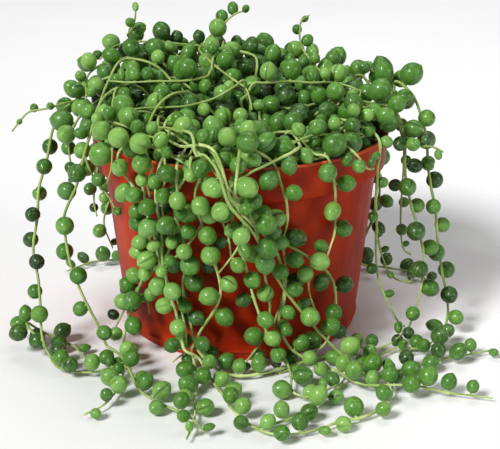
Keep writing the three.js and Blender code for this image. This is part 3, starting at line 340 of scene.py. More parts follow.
def backVine(azimuth, foot, shootFoot, sway):  # with a side shoot that parts from it at the rim
    turn, distance = backLay["root"]
    over = [(azimuth + aside, radius, level) for aside, radius, level in backLay["over"]]
    fall = fallBehind(azimuth, foot, sway)
    aside, share = backLay["shoot"]
    shoot = fallBehind(azimuth + aside, shootFoot, share * sway)
    gap, shootGap = backLay["gaps"]
    return [
        dict(root=(azimuth + turn, distance), over=over, fall=fall, gap=gap),
        dict(fall=fall[:1] + shoot[1:], gap=shootGap),
    ]


def everyVine():
    routes = {}
    for kind, lay in crownLay.items():
        for i in range(lay["count"]):
            angle = 360 // lay["count"] * i + lay["first"]
            if kind == "edge":
                route = edgeVine(angle, lay["turn"], lay["level"])
            else:
                turn = -lay["turn"] if i % 2 else lay["turn"]
                inner = lay["inner"][i % len(lay["inner"])]
                route = windingVine(angle, turn, lay["level"], inner, lay["outer"])
            routes[f"crown_{kind}_{i + 1}"] = route
    for i, feet in enumerate(backLay["feet"]):
        sway = backLay["sway"] if i % 2 else -backLay["sway"]
        routes[f"back_{i + 1}"] = backVine(backLay["first"] + backLay["between"] * i, *feet, sway)
    routes.update(vineRoutes)
    return routes


dice = {"seed": 4711}  # the same throws each time


def roll():
    dice["seed"] = dice["seed"] * 16807 % 2147483647
    return dice["seed"] / 2147483647


def rollBetween(low, high):
    return low + (high - low) * roll()


def clamp(value, low=0.0, high=1.0):
    return min(high, max(low, value))


def at(azimuth, radius, z):
    a = math.radians(azimuth)
    return np.array((radius * math.sin(a), -radius * math.cos(a), z))


def unit(vector):
    length = math.sqrt(vector @ vector)
    return vector / length if length > 0 else vector


def heapHeight(x, y):
    across = math.exp(-abs((x - heapSize["centre"][0]) / heapSize["width"]) ** 4)
    along = math.exp(-abs((y - heapSize["centre"][1]) / heapSize["depth"]) ** 3)
    return heapSize["foot"] + heapSize["rise"] * (1 - heapSize["lean"] * x) * across * along


rimFoot = potSize["height"] - potSize["rimDepth"]
rimInside = potSize["rimRadius"] - potSize["wall"]
section = (  # the pot and soil from the axis outwards: distance and height
    (0, 0),
    (potSize["baseRadius"], 0),
    (potSize["shoulderRadius"], rimFoot),
    (potSize["rimFootRadius"], rimFoot),
    (potSize["rimRadius"], potSize["height"]),
    (rimInside, potSize["height"]),
    (rimInside, soilTop),
    (0, soilTop),
)


def wallClearance(points):  # how far points stand clear of the pot and soil, below 0 inside
    r = np.hypot(points[:, 0], points[:, 1])
    z = points[:, 2]
    nearest = np.full(len(points), np.inf)
    inside = np.zeros(len(points), bool)
    for i, (ra, za) in enumerate(section):
        rb, zb = section[(i + 1) % len(section)]
        dr, dz = rb - ra, zb - za
        if i < len(section) - 1:
            along = np.clip(((r - ra) * dr + (z - za) * dz) / (dr * dr + dz * dz), 0, 1)
            nearest = np.minimum(nearest, np.hypot(r - ra - dr * along, z - za - dz * along))
        if dz != 0:
            inside ^= ((za > z) != (zb > z)) & (r < ra + (z - za) / dz * dr)
    return np.where(inside, -nearest, nearest)


def distances(point, others):
    away = others - point
    return np.sqrt(np.einsum("ij,ij->i", away, away))


def nearestPoint(point, others):
    return others[np.argmin(distances(point, others))]


def arcLengths(line):  # how far along the line each of its points is
    return np.concatenate(([0], np.cumsum(np.sqrt(((line[1:] - line[:-1]) ** 2).sum(1)))))


def smoothLine(knots):
    knots = np.array(knots)
    lengths = np.sqrt(((knots[1:] - knots[:-1]) ** 2).sum(1))
    last = len(knots) - 1
    slopes = []
    for i in range(len(knots)):
        before, after = max(0, i - 1), min(last, i + 1)
        slopes.append((knots[after] - knots[before]) / sum(lengths[before:after]))
    line = []
    for i, length in enumerate(lengths):
        steps = max(1, math.floor(length / stemLay["step"] + 0.5))
        for s in range(steps):
            t = s / steps
            point = knots[i] * ((1 + 2 * t) * (1 - t) ** 2) + slopes[i] * (length * t * (1 - t) ** 2)
            point = point + knots[i + 1] * (t * t * (3 - 2 * t))
            line.append(point + slopes[i + 1] * (length * t * t * (t - 1)))
    line.append(knots[last])
    return np.array(line)


def liftDirection(line, i, laid):  # away from the wall beside the pot, and up elsewhere
    point = line[i]
    r = math.hypot(point[0], point[1])
    beside = 0
    if r > stemLay["beside"]:
        (top, easeTop), (foot, easeFoot) = stemLay["top"], stemLay["foot"]
        beside = clamp((top - point[2]) / easeTop) * clamp((point[2] - foot) / easeFoot)
    out = unit(np.array((point[0] / r * beside, point[1] / r * beside, 1 - beside)))
    run = unit(line[min(i + 1, len(line) - 1)] - line[i - 1])
    if abs(out @ run) > stemLay["sameWay"] and len(laid):
        return unit(point - nearestPoint(point, laid))
    return out


def nearestAmong(line, laid):
    near = (laid > line.min(0) - stemLay["near"]) & (laid < line.max(0) + stemLay["near"])
    near = laid[near.all(1)]
    if not len(near):
        return np.full(len(line), np.inf)
    return np.sqrt(((line[:, None] - near[None]) ** 2).sum(2).min(1))


def drape(line, laid):  # lifts a line over what lies under it
    fixed, reach = stemLay["fixed"], stemLay["reach"]
    for sweep in range(stemLay["passes"]):
        short = np.maximum(0, stemLay["wallGap"] - wallClearance(line))
        short = np.maximum(short, stemLay["space"] - nearestAmong(line, laid))
        short = np.maximum(short, stemLay["floorGap"] - line[:, 2])
        short[:fixed] = 0
        if short.max() <= stemLay["enough"]:
            return
        padded = np.concatenate((np.zeros(reach), short, np.zeros(reach)))
        lift = np.zeros(len(line))
        for k in range(-reach, reach + 1):
            share = 0.5 + 0.5 * math.cos(math.pi * k / (reach + 1))
            lift = np.maximum(lift, padded[reach + k:reach + k + len(line)] * share)
        lift[:fixed] = 0
        moves = np.zeros_like(line)
        for i in np.flatnonzero(lift):
            moves[i] = liftDirection(line, i, laid) * (stemLay["pull"] * lift[i] + stemLay["nudge"])
        line += moves


def strandKnots(strand):
    knots = []
    if "root" in strand:
        knots.append(at(*strand["root"], soilTop + soilGap))
        knots.append(at(*strand["root"], soilTop + stemLay["rootHeight"]))
    low = soilTop + heapSize["clear"]
    for azimuth, radius, level in strand.get("over", ()):
        knot = at(azimuth, radius, 0)
        knot[2] = low + (heapHeight(knot[0], knot[1]) - low) * level
        knots.append(knot)
    knots += [at(*place) for place in strand.get("fall", ())]
    return knots


def layVines():
    laid = np.zeros((0, 3))
    vines = []
    for name, strands in everyVine().items():
        lines = []
        for strand in strands:
            knots = strandKnots(strand)
            if lines:
                knots[0] = nearestPoint(knots[0], np.concatenate(lines)).copy()
            line = smoothLine(knots)
            drape(line, laid)
            lines.append(line)
        laid = np.concatenate([laid] + lines)
        vines.append({"name": name, "strands": strands, "lines": lines, "leaves": []})
    return vines


grown = {"centres": np.zeros((0, 3)), "radii": np.zeros(0)}


def hasRoom(centre, radius, otherStems):
    if centre[2] < radius + leafLay["fromFloor"]:
        return False
    if wallClearance(centre[None])[0] < radius + leafLay["fromWall"]:
        return False
    between = distances(centre, grown["centres"]) - grown["radii"]
    if len(between) and between.min() < radius + leafLay["apart"]:
        return False
    return distances(centre, otherStems).min() >= radius + leafLay["fromStem"]


def growLeaf(base, tangent, side, size, least, otherStems):
    r = math.hypot(base[0], base[1])
    out = np.array((base[0] / r, base[1] / r, 0))
    up = np.array((0.0, 0.0, 1.0))
    distance, low, high = leafLay["outwards"]
    face, other = (out, up) if r > distance and low < base[2] < high else (up, out)
    if abs(face @ tangent) > leafLay["sameWay"]:
        face = other
    across = unit(np.cross(tangent, face))
    away = np.cross(across, tangent)
    spread = roll()
    for k, share in enumerate(leafLay["tries"]):
        turn = leafLay["turn"] * (k % leafLay["turns"])
        angle = side * (least + leafLay["fan"] * spread) + (turn if k % 2 else -turn)
        radius = size * share
        direction = away * math.cos(angle) + across * math.sin(angle)
        centre = base + direction * (leafLay["petiole"] + radius)
        if hasRoom(centre, radius, otherStems):
            return dict(base=base, tangent=tangent, direction=direction, centre=centre, radius=radius)
    return None


def leafZone(place):
    r = math.hypot(place[0], place[1])
    if place[2] > leafLay["heap"]["height"] and r < leafLay["heap"]["edge"]:
        return "heap"
    if place[2] < leafLay["surface"]["height"] and r > leafLay["surface"]["edge"]:
        return "surface"
    return "fall"


def growLeaves(vine, otherStems):
    for index, line in enumerate(vine["lines"]):
        strand = vine["strands"][index]
        arc = arcLengths(line)
        total = arc[-1]
        mainFoot, shootFoot, tip = leafLay["bare"]
        along = shootFoot if index else mainFoot
        side = 1
        while along < total - tip:
            i = int(np.searchsorted(arc, along)) - 1
            tangent = unit(line[i + 1] - line[i])
            base = line[i] + tangent * (along - arc[i])
            zone = leafZone(base)
            size = strand.get("size", leafLay["radius"])
            size *= min(1, 0.5 + 0.5 * (total - along) / leafLay["taper"])
            least, more = leafLay["sizeSpread"]
            size *= least + more * roll()
            size *= leafLay[zone]["size"]
            angle = leafLay["under" if zone == "heap" and "shown" in strand else "beside"]
            leaf = growLeaf(base, tangent, side, size, angle, otherStems)
            if leaf:
                grown["centres"] = np.concatenate((grown["centres"], leaf["centre"][None]))
                grown["radii"] = np.append(grown["radii"], leaf["radius"])
                leaf["strand"] = index
                vine["leaves"].append(leaf)
            side = -side
            gap = strand.get("gap", leafLay["fall"]["gap"]) if zone == "fall" else leafLay[zone]["gap"]
            least, more = leafLay["gapSpread"]
            along += gap * (least + more * roll())


def openPoints(vine):  # over the stems that show on top of the heap, where no leaves grow
    points = []
    for line, strand in zip(vine["lines"], vine["strands"]):
        high = line[line[:, 2] > leafLay["openFrom"]]
        for away in leafLay["openSteps"][:strand.get("shown", 0)]:
            points.append(high + np.array(leafLay["open"]) * away)
    return points


def growPlant():
    vines = layVines()
    keptOpen = [points for vine in vines for points in openPoints(vine)]
    for vine in vines:
        otherStems = [line for other in vines if other is not vine for line in other["lines"]]
        growLeaves(vine, np.concatenate(otherStems + keptOpen))
    return vines


vines = growPlant()
print("vines laid:", len(vines), "with", sum(len(vine["leaves"]) for vine in vines), "leaves")


def feed(tree, socket, value):  # links a socket, or sets the plain value
    if isinstance(value, bpy.types.NodeSocket):
        tree.links.new(value, socket)
    elif socket.type == "RGBA":
        socket.default_value = (*value, 1)
    else:
        socket.default_value = value


def addNode(tree, kind, inputs, **settings):
    node = tree.nodes.new("ShaderNode" + kind)
    for name, value in settings.items():
        setattr(node, name, value)
    for name, value in inputs.items():
        feed(tree, node.inputs[name], value)
    return node


def mixColour(tree, factor, first, second):
    return addNode(tree, "Mix", {0: factor, 6: first, 7: second}, data_type="RGBA").outputs[2]


def sums(tree, operation, *values):
    return addNode(tree, "Math", dict(enumerate(values)), operation=operation).outputs[0]


def fade(tree, value, start, end, low=0.0, high=1.0):
    inputs = {"Value": value, "From Min": start, "From Max": end, "To Min": low, "To Max": high}
    return addNode(tree, "MapRange", inputs, interpolation_type="SMOOTHSTEP").outputs[0]


def attribute(tree, name):
    return addNode(tree, "Attribute", {}, attribute_name=name).outputs["Fac"]


def paint(red, green, blue):  # a colour as seen on a screen, 0 to 255, in Blender's linear light
    shares = [channel / 255 for channel in (red, green, blue)]
    return tuple(s / 12.92 if s <= 0.04045 else ((s + 0.055) / 1.055) ** 2.4 for s in shares)


def newGroup(name, inputs, output, kind):
    group = bpy.data.node_groups.new(name, "ShaderNodeTree")
    for socket in inputs:
        socketKind = "NodeSocketVector" if socket == "Vector" else "NodeSocketFloat"
        group.interface.new_socket(socket, in_out="INPUT", socket_type=socketKind)
    group.interface.new_socket(output, in_out="OUTPUT", socket_type=kind)
    return group, group.nodes.new("NodeGroupInput").outputs, group.nodes.new("NodeGroupOutput").inputs


def fillGroup(tree, group, inputs):
    node = tree.nodes.new("ShaderNodeGroup")
    node.node_tree = group
    for name, value in inputs.items():
        feed(tree, node.inputs[name], value)
    return node.outputs[0]


def makePatches():  # soft blotches, 0 to 1, with a set share of the surface
    names = ("Vector", "Scale", "Detail", "From", "To")
    group, start, end = newGroup("patches", names, "Mask", "NodeSocketFloat")
    cloud = addNode(group, "TexNoise", {name: start[name] for name in names[:3]})
    group.links.new(fade(group, cloud.outputs[0], start["From"], start["To"]), end["Mask"])
    return group


def makeGrain():  # fine unevenness of a surface, as a normal
    names = ("Vector", "Scale", "Strength", "Depth")
    group, start, end = newGroup("grain", names, "Normal", "NodeSocketVector")
    noiseInputs = {"Vector": start["Vector"], "Scale": start["Scale"], "Detail": 3.0}
    cloud = addNode(group, "TexNoise", noiseInputs)
    bump = {"Height": cloud.outputs[0], "Strength": start["Strength"], "Distance": start["Depth"]}
    group.links.new(addNode(group, "Bump", bump).outputs[0], end["Normal"])
    return group


patches = makePatches()
grain = makeGrain()


def newMaterial(name):
    material = bpy.data.materials.new(name)
    material.use_nodes = True
    tree = material.node_tree
    place = addNode(tree, "TexCoord", {}).outputs["Object"]
    return material, tree, tree.nodes["Principled BSDF"].inputs, place


# A pattern: scale, start and full extent of its patches, and detail if not 3. A layer: colour,
# most cover, pattern. Roughness: least, what comes on top, pattern. A grain: scale, strength,
# depth in metres.
def mask(tree, place, scale, start, end, detail=3.0):
    inputs = {"Vector": place, "Scale": scale, "Detail": detail, "From": start, "To": end}
    return fillGroup(tree, patches, inputs)


def overlay(tree, place, under, colour, cover, pattern):
    return mixColour(tree, sums(tree, "MULTIPLY", mask(tree, place, *pattern), cover), under, colour)


def finishSkin(tree, shader, place, roughPlace, colour, look):
    tree.links.new(colour, shader["Base Color"])
    if "roughness" in look:
        least, more, pattern = look["roughness"]
        rough = sums(tree, "MULTIPLY_ADD", mask(tree, roughPlace, *pattern), more, least)
        tree.links.new(rough, shader["Roughness"])
    scale, strength, depth = look["grain"]
    inputs = {"Vector": place, "Scale": scale, "Strength": strength, "Depth": depth}
    tree.links.new(fillGroup(tree, grain, inputs), shader["Normal"])
    for name, value in look["plain"].items():
        shader[name].default_value = value


leafLook = {
    "light": paint(128, 174, 80),
    "middle": paint(68, 120, 29),
    "dark": paint(20, 48, 10),
    "slit": paint(12, 32, 8),
    "tip": paint(158, 170, 96),
    "tipFrom": 0.965,  # share of the leaf's length
    "mottle": 0.16,
    "mottlePattern": (260, 0.3, 0.7),
    "haze": (paint(98, 148, 84), 0.28, (55, 0.5, 0.66)),
    # pale waxy bloom in patches, made stronger to brighten the leaves: partly real bloom, partly painted
    # highlight
    "bloomAndHighlight": (paint(164, 198, 130), 0.18, (700, 0.42, 0.75, 6.0)),
    "roughness": (0.42, 0.16, (900, 0.3, 0.7, 5.0)),
    "grain": (1600, 0.25, 0.00015),
    "plain": {
        "Specular IOR Level": 0.3,
        "Coat Weight": 0.3,
        "Coat Roughness": 0.11,
        "Sheen Weight": 0.2,
        "Sheen Roughness": 0.28,
        "Sheen Tint": (*paint(206, 228, 170), 1),
        "Subsurface Weight": 0.12,
        "Subsurface Radius": (0.5, 1.0, 0.2),
        "Subsurface Scale": 0.002,
    },
}


def leafMaterial():
    look = leafLook
    material, tree, shader, place = newMaterial("leafSkin")
    shade = sums(tree, "SUBTRACT", mask(tree, place, *look["mottlePattern"]), 0.5)
    # the attribute brings each leaf's own tone and its painted shade
    shade = sums(tree, "MULTIPLY_ADD", shade, look["mottle"], attribute(tree, "toneAndShade"))
    colour = mixColour(tree, fade(tree, shade, 0.0, 0.5), look["light"], look["middle"])
    colour = mixColour(tree, fade(tree, shade, 0.5, 1.0), colour, look["dark"])
    colour = overlay(tree, place, colour, *look["haze"])
    # pale patches: partly waxy bloom, partly painted highlight
    colour = overlay(tree, place, colour, *look["bloomAndHighlight"])
    colour = mixColour(tree, attribute(tree, "slit"), colour, look["slit"])
    tip = fade(tree, attribute(tree, "along"), look["tipFrom"], 1.0)
    colour = mixColour(tree, tip, colour, look["tip"])
    finishSkin(tree, shader, place, place, colour, look)
    return material


stemLook = {
    "pale": paint(202, 222, 142),
    "green": paint(132, 160, 76),
    "greenPattern": (60, 0.35, 0.65),
    "fleck": (paint(98, 94, 50), 0.5, (900, 0.56, 0.7, 4.0)),
    "roughness": (0.5, 0.2, (500, 0.3, 0.7)),
    "grain": (1100, 0.35, 0.0002),
    "plain": {
        "Subsurface Weight": 0.08,
        "Subsurface Radius": (1.0, 1.0, 0.4),
        "Subsurface Scale": 0.001,
    },
    "frontToneAndShade": 0.1,  # how much greener and darker the stems in front are, and the others: partly their own tone, partly painted shade away from the front
    "otherToneAndShade": 0.65,
}


def stemMaterial():
    look = stemLook
    material, tree, shader, place = newMaterial("stemSkin")
    colour = mixColour(tree, mask(tree, place, *look["greenPattern"]), look["pale"], look["green"])
    # darker green from the attribute: partly the stem's own tone, partly painted shade away from the
    # front
    colour = mixColour(tree, attribute(tree, "toneAndShade"), colour, look["green"])
    colour = overlay(tree, place, colour, *look["fleck"])
    finishSkin(tree, shader, place, place, colour, look)
    return material


deepRed = paint(150, 34, 7)
potLook = {
    "red": paint(182, 54, 13),
    "deep": deepRed,
    "deepPattern": (55, 0.35, 0.7),
    "upright": (1, 1, 0.12),  # draws a pattern out along the wall
    "smudge": (deepRed, 0.3, (95, 0.54, 0.64, 4.0)),
    "streak": (deepRed, 0.35, (240, 0.52, 0.8, 5.0)),
    # a painted highlight: the top of the lip lighter, as if lit through the thin plastic
    "lipHighlight": paint(220, 92, 52),
    "lipHighlightHeight": (0.1032, 0.1045),  # metres, where the painted highlight on the lip starts and is full
    "dust": paint(170, 84, 50),
    "dustHeight": (0.03, 0.0, 0.05, 0.3),  # from and down to, with the share of dust there
    "dustPattern": (420, 0.55, 0.8, 8.0),
    "roughness": (0.42, 0.16, (130, 0.3, 0.75, 6.0)),
    "grain": (380, 0.12, 0.0003),
    "plain": {"Specular IOR Level": 0.1},
}


def potMaterial():
    look = potLook
    material, tree, shader, place = newMaterial("potPlastic")
    upright = addNode(tree, "Mapping", {"Vector": place, "Scale": look["upright"]}).outputs[0]
    colour = mixColour(tree, mask(tree, upright, *look["deepPattern"]), look["red"], look["deep"])
    colour = overlay(tree, place, colour, *look["smudge"])
    colour = overlay(tree, upright, colour, *look["streak"])
    height = addNode(tree, "SeparateXYZ", {0: place}).outputs["Z"]
    # painted highlight on the lip, by height
    colour = mixColour(tree, fade(tree, height, *look["lipHighlightHeight"]), colour, look["lipHighlight"])
    low = fade(tree, height, *look["dustHeight"])
    colour = overlay(tree, place, colour, look["dust"], low, look["dustPattern"])
    finishSkin(tree, shader, place, upright, colour, look)
    return material


darkPeat = paint(22, 16, 14)
soilLook = {
    "peat": paint(44, 32, 26),
    "dark": darkPeat,
    "darkPattern": (300, 0.35, 0.65, 6.0),
    "bark": paint(110, 62, 38),
    "grit": paint(196, 190, 178),
    "speck": (darkPeat, 0.6, (1400, 0.55, 0.7, 4.0)),
    "grain": (900, 0.8, 0.0008),
    "plain": {"Roughness": 0.95},
}


def soilMaterial():
    look = soilLook
    material, tree, shader, place = newMaterial("peatSoil")
    colour = mixColour(tree, mask(tree, place, *look["darkPattern"]), look["peat"], look["dark"])
    kind = attribute(tree, "kind")  # 0 for peat, 0.5 for bark, 1 for grit
    colour = mixColour(tree, fade(tree, kind, 0.2, 0.5), colour, look["bark"])
    colour = mixColour(tree, fade(tree, kind, 0.7, 1.0), colour, look["grit"])
    colour = overlay(tree, place, colour, *look["speck"])
    finishSkin(tree, shader, place, place, colour, look)
    return material


leafSkin = leafMaterial()
stemSkin = stemMaterial()
potPlastic = potMaterial()
peatSoil = soilMaterial()
print("materials ready")


def linked(thing):
    bpy.context.scene.collection.objects.link(thing)
    return thing


def finishPiece(piece, material, slot, *nodes):
    if not piece.users_collection:
        linked(piece)
    piece.data.materials.clear()
    piece.data.materials.append(material)
    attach(piece, "root")
    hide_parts(*nodes)


def meshData(name, shape):
    data = bpy.data.meshes.new(name)
    shape.to_mesh(data)
    shape.free()
    return data


def meshPiece(name, shape):
    return bpy.data.objects.new(name, meshData(name, shape))


def spun(outline, steps):  # a closed solid of revolution; outline from axis to axis
    shape = bmesh.new()
    points = [shape.verts.new((r, 0, z)) for r, z in outline]
    edges = [shape.edges.new(pair) for pair in zip(points, points[1:])]
    bmesh.ops.spin(shape, geom=points + edges, cent=(0, 0, 0), axis=(0, 0, 1),
                   angle=math.tau, steps=steps, use_merge=True)
    bmesh.ops.remove_doubles(shape, verts=shape.verts, dist=1e-6)
    bmesh.ops.recalc_face_normals(shape, faces=shape.faces)
    for face in shape.faces:
        face.smooth = True
    return shape


def applied(piece):  # the piece with its curve or modifiers made one plain mesh
    linked(piece)
    graph = bpy.context.evaluated_depsgraph_get()
    data = bpy.data.meshes.new_from_object(piece.evaluated_get(graph))
    name = piece.name
    piece.data.name = name + "Rough"
    bpy.data.objects.remove(piece)
    data.name = name
    return linked(bpy.data.objects.new(name, data))


potShape = {
    "steps": 160,
    "wobble": 0.12,  # how far the thin wall wanders
    "wobbleFrom": (50, 8),  # further out and higher than this
    "wobbleTurns": 2.2,
    "wobbleRise": 18,
    "holes": 6,
    "holeRadius": 4.5,
    "holeRing": 40,
    "holeSides": 24,
    "drill": 8,  # length of the cut
    "outline": (
        (0, 0), (30, 0), (58.9, 0), (59.9, 0.25), (60.45, 1.1), (60.8, 2.6),
        (61.02, 4.1), (61.25, 4.45), (61.7, 4.8), (61.75, 5.1), (61.4, 5.6), (61.22, 6.0),
        (61.6, 9.5), (62.6, 18), (63.6, 27), (64.6, 36), (65.6, 45), (66.6, 54),
        (67.6, 63), (68.5, 71), (69.4, 79), (70.1, 85), (70.3, 86.2), (70.7, 86.75),
        (72, 87), (73.8, 87.15), (74.4, 87.5), (74.65, 88.3), (74.9, 92), (75.2, 96),
        (75.5, 100), (75.75, 103.6), (76, 104.1), (76.05, 104.5), (75.85, 104.88), (75.4, 105),
        (74.95, 104.95), (74.65, 104.6), (74.5, 104), (74.1, 99), (73.6, 94), (73.3, 90),
        (73, 88.9), (72, 88.5), (69.6, 88.3), (69, 87.6), (68.6, 84), (66.4, 64),
        (64.1, 43), (61.7, 22), (59.6, 3.2), (59, 2.2), (58, 2), (30, 2), (0, 2),
    ),
}


def wobbleWall(shape):
    beyond, above = potShape["wobbleFrom"]
    turns, rise = potShape["wobbleTurns"], potShape["wobbleRise"]
    for vert in shape.verts:
        r = math.hypot(vert.co.x, vert.co.y)
        if r > beyond * mm and vert.co.z > above * mm:
            angle = math.atan2(vert.co.y, vert.co.x)
            where = Vector((turns * math.cos(angle), turns * math.sin(angle), rise * vert.co.z))
            push = 1 + potShape["wobble"] * mm * noise.noise(where) / r
            vert.co.x *= push
            vert.co.y *= push


def makePot():
    shape = spun([(r * mm, z * mm) for r, z in potShape["outline"]], potShape["steps"])
    wobbleWall(shape)
    pot = meshPiece("potShell", shape)
    cutter = bmesh.new()
    radius = potShape["holeRadius"] * mm
    move = Matrix.Translation((0, -potShape["holeRing"] * mm, potSize["floor"] * mm / 2))
    for i in range(potShape["holes"]):
        turn = Matrix.Rotation(math.tau * i / potShape["holes"], 4, "Z")
        bmesh.ops.create_cone(cutter, cap_ends=True, segments=potShape["holeSides"], radius1=radius,
                              radius2=radius, depth=potShape["drill"] * mm, matrix=turn @ move)
    drill = linked(meshPiece("drainDrill", cutter))
    cut = pot.modifiers.new("drainHoles", "BOOLEAN")
    cut.object = drill
    cut.operation = "DIFFERENCE"
    cut.solver = "EXACT"
    pot = applied(pot)
    bpy.data.objects.remove(drill)
    finishPiece(pot, potPlastic, "pot_plastic", "pot")


makePot()
print("pot made")

soilShape = {
    "steps": 96,
    "slack": 0.1,  # from the pot's wall, on top of the gap
    "edgeGap": 0.7,
    "corners": (  # the pot's radius, how much less, and the height
        ("baseRadius", 0.4, potSize["floor"] + soilGap),
        ("shoulderRadius", 0.5, rimFoot + 0.9),
        ("rimFootRadius", 0.5, rimFoot + 2.6),
    ),
    "rounding": (0.2, 1.2),
    "ringStep": 2.4,
    "topLayer": 0.5,
    "lump": 1.5,  # height of the coarse lumps
    "fineShare": 0.6,
    "lumpScale": 90,
    "fineScale": 420,
    "fineShift": (7, 3, 1),
    "crumbs": 620,
    "crumbSize": (0.5, 1.7),
    "crumbEdge": 3,  # none lies so near to the rim
    "crumbLevel": 0.9,
    "crumbHeight": (0.4, 0.9),
    "crumbTilt": 0.5,
    "roughness": 0.22,
    "barkShare": 0.22,
    "barkLength": (1.4, 2.8),
    "gritShare": 0.06,
}


def soilOutline(inset, edge):
    corners = [(potSize[radius] - inset - less, z) for radius, less, z in soilShape["corners"]]
    aside, down = soilShape["rounding"]
    outline = [(0, corners[0][1])] + corners + [(edge - aside, soilTop - down)]
    r = edge - down
    while r > 1:
        outline.append((r, soilTop))
        r -= soilShape["ringStep"]
    return outline + [(0, soilTop)]


def addCrumb(shape, kind, reach):
    s = soilShape
    radius = reach * math.sqrt(roll())
    angle = math.tau * roll()
    size = rollBetween(*s["crumbSize"]) * mm
    what = roll()
    bark = what < s["barkShare"]
    grit = what > 1 - s["gritShare"]
    length = rollBetween(*s["barkLength"]) if bark else 1
    stretch = Matrix.Diagonal((length, 1, rollBetween(*s["crumbHeight"]), 1))
    turn = Matrix.Rotation(math.tau * roll(), 4, "Z")
    turn = turn @ Matrix.Rotation(rollBetween(-s["crumbTilt"], s["crumbTilt"]), 4, "Y")
    spot = Vector((radius * math.cos(angle), radius * math.sin(angle), soilTop + s["crumbLevel"]))
    matrix = Matrix.Translation(spot * mm) @ turn @ stretch
    done = bmesh.ops.create_icosphere(shape, subdivisions=1, radius=size, matrix=matrix)
    for vert in done["verts"]:
        vert[kind] = 0.5 if bark else 1 if grit else 0
        push = Vector((rollBetween(-1, 1), rollBetween(-1, 1), rollBetween(-1, 1)))
        vert.co += push * size * s["roughness"]


def makeSoil():
    inset = potSize["wall"] + soilGap + soilShape["slack"]
    edge = potSize["rimRadius"] - inset - soilShape["edgeGap"]
    shape = spun([(r * mm, z * mm) for r, z in soilOutline(inset, edge)], soilShape["steps"])
    kind = shape.verts.layers.float.new("kind")
    for vert in shape.verts:
        if vert.co.z > (soilTop - soilShape["topLayer"]) * mm:
            coarse = noise.noise(vert.co * soilShape["lumpScale"])
            fine = noise.noise(vert.co * soilShape["fineScale"] + Vector(soilShape["fineShift"]))
            vert.co.z += soilShape["lump"] * (coarse + soilShape["fineShare"] * fine) * mm
    for crumb in range(soilShape["crumbs"]):
        addCrumb(shape, kind, edge - soilShape["crumbEdge"])
    finishPiece(meshPiece("soilFill", shape), peatSoil, "potting_soil", "soil")


makeSoil()
print("soil made")

stemShape = {
    "thick": 0.72,  # radius near the root
    "thin": 0.42,  # radius at the tip
    "taper": 90,  # length over which it thins, and how suddenly
    "taperPower": 0.7,
    "knot": 1.25,  # swelling where a leaf grows
    "stalk": 0.42,  # its radius for a leaf of radius stalkLeaf
    "stalkLeaf": 4,
    "stalkRange": (0.6, 1.1),
    "stalkSwell": (1.15, 1, 1.3),  # at its foot, its middle and the leaf
    "stalkSag": 0.15,
    "stalkEnd": 0.94,  # share of the leaf's radius where it ends in it
    "lean": 0.35,  # leaves point along the stem and up by so much
    "lift": 0.1,
}


def addSpline(curve, points, radii):
    spline = curve.splines.new("BEZIER")
    spline.bezier_points.add(len(points) - 1)
    for knot, place, radius in zip(spline.bezier_points, points, radii):
        knot.co = Vector(place) * mm
        knot.handle_left_type = knot.handle_right_type = "AUTO"
        knot.radius = radius


def lineRadii(line, leaves):
    arc = arcLengths(line)
    toTip = np.clip((arc[-1] - arc) / stemShape["taper"], 0, 1) ** stemShape["taperPower"]
    radii = stemShape["thin"] + (stemShape["thick"] - stemShape["thin"]) * toTip
    for leaf in leaves:
        radii[np.argmin(distances(leaf["base"], line))] *= stemShape["knot"]
    return np.minimum(radii, stemShape["thick"] * stemShape["knot"])


def leafAxis(leaf):
    axis = leaf["direction"] + leaf["tangent"] * stemShape["lean"]
    axis[2] += stemShape["lift"]
    return unit(axis)


def stalkPoints(leaf):
    foot = leaf["centre"] - leafAxis(leaf) * leaf["radius"] * stemShape["stalkEnd"]
    middle = (leaf["base"] + foot) / 2 - leaf["tangent"] * stemShape["stalkSag"]
    return [leaf["base"], middle, foot]


def makeStem(vine):
    curve = bpy.data.curves.new("stemLine", "CURVE")
    curve.dimensions = "3D"
    curve.bevel_depth = mm
    curve.bevel_resolution = 1
    curve.resolution_u = 2
    curve.use_fill_caps = True
    for index, line in enumerate(vine["lines"]):
        own = [leaf for leaf in vine["leaves"] if leaf["strand"] == index]
        addSpline(curve, line, lineRadii(line, own))
    for leaf in vine["leaves"]:
        share = clamp(leaf["radius"] / stemShape["stalkLeaf"], *stemShape["stalkRange"])
        swells = [stemShape["stalk"] * share * swell for swell in stemShape["stalkSwell"]]
        addSpline(curve, stalkPoints(leaf), swells)
    stem = applied(bpy.data.objects.new("stem_" + vine["name"], curve))
    bpy.data.curves.remove(curve)
    weld = bmesh.new()  # the end caps of a curve come loose
    weld.from_mesh(stem.data)
    bmesh.ops.remove_doubles(weld, verts=weld.verts, dist=1e-6)
    weld.to_mesh(stem.data)
    weld.free()
    # stems away from the front darker green: partly their own tone, partly painted shade
    shade = stemLook["frontToneAndShade"] if vine["name"].startswith("front") else stemLook["otherToneAndShade"]
    toneAndShade = stem.data.attributes.new("toneAndShade", "FLOAT", "POINT")
    toneAndShade.data.foreach_set("value", [shade] * len(stem.data.vertices))
    for polygon in stem.data.polygons:
        polygon.use_smooth = True
    finishPiece(stem, stemSkin, "stem", "vine_" + vine["name"])


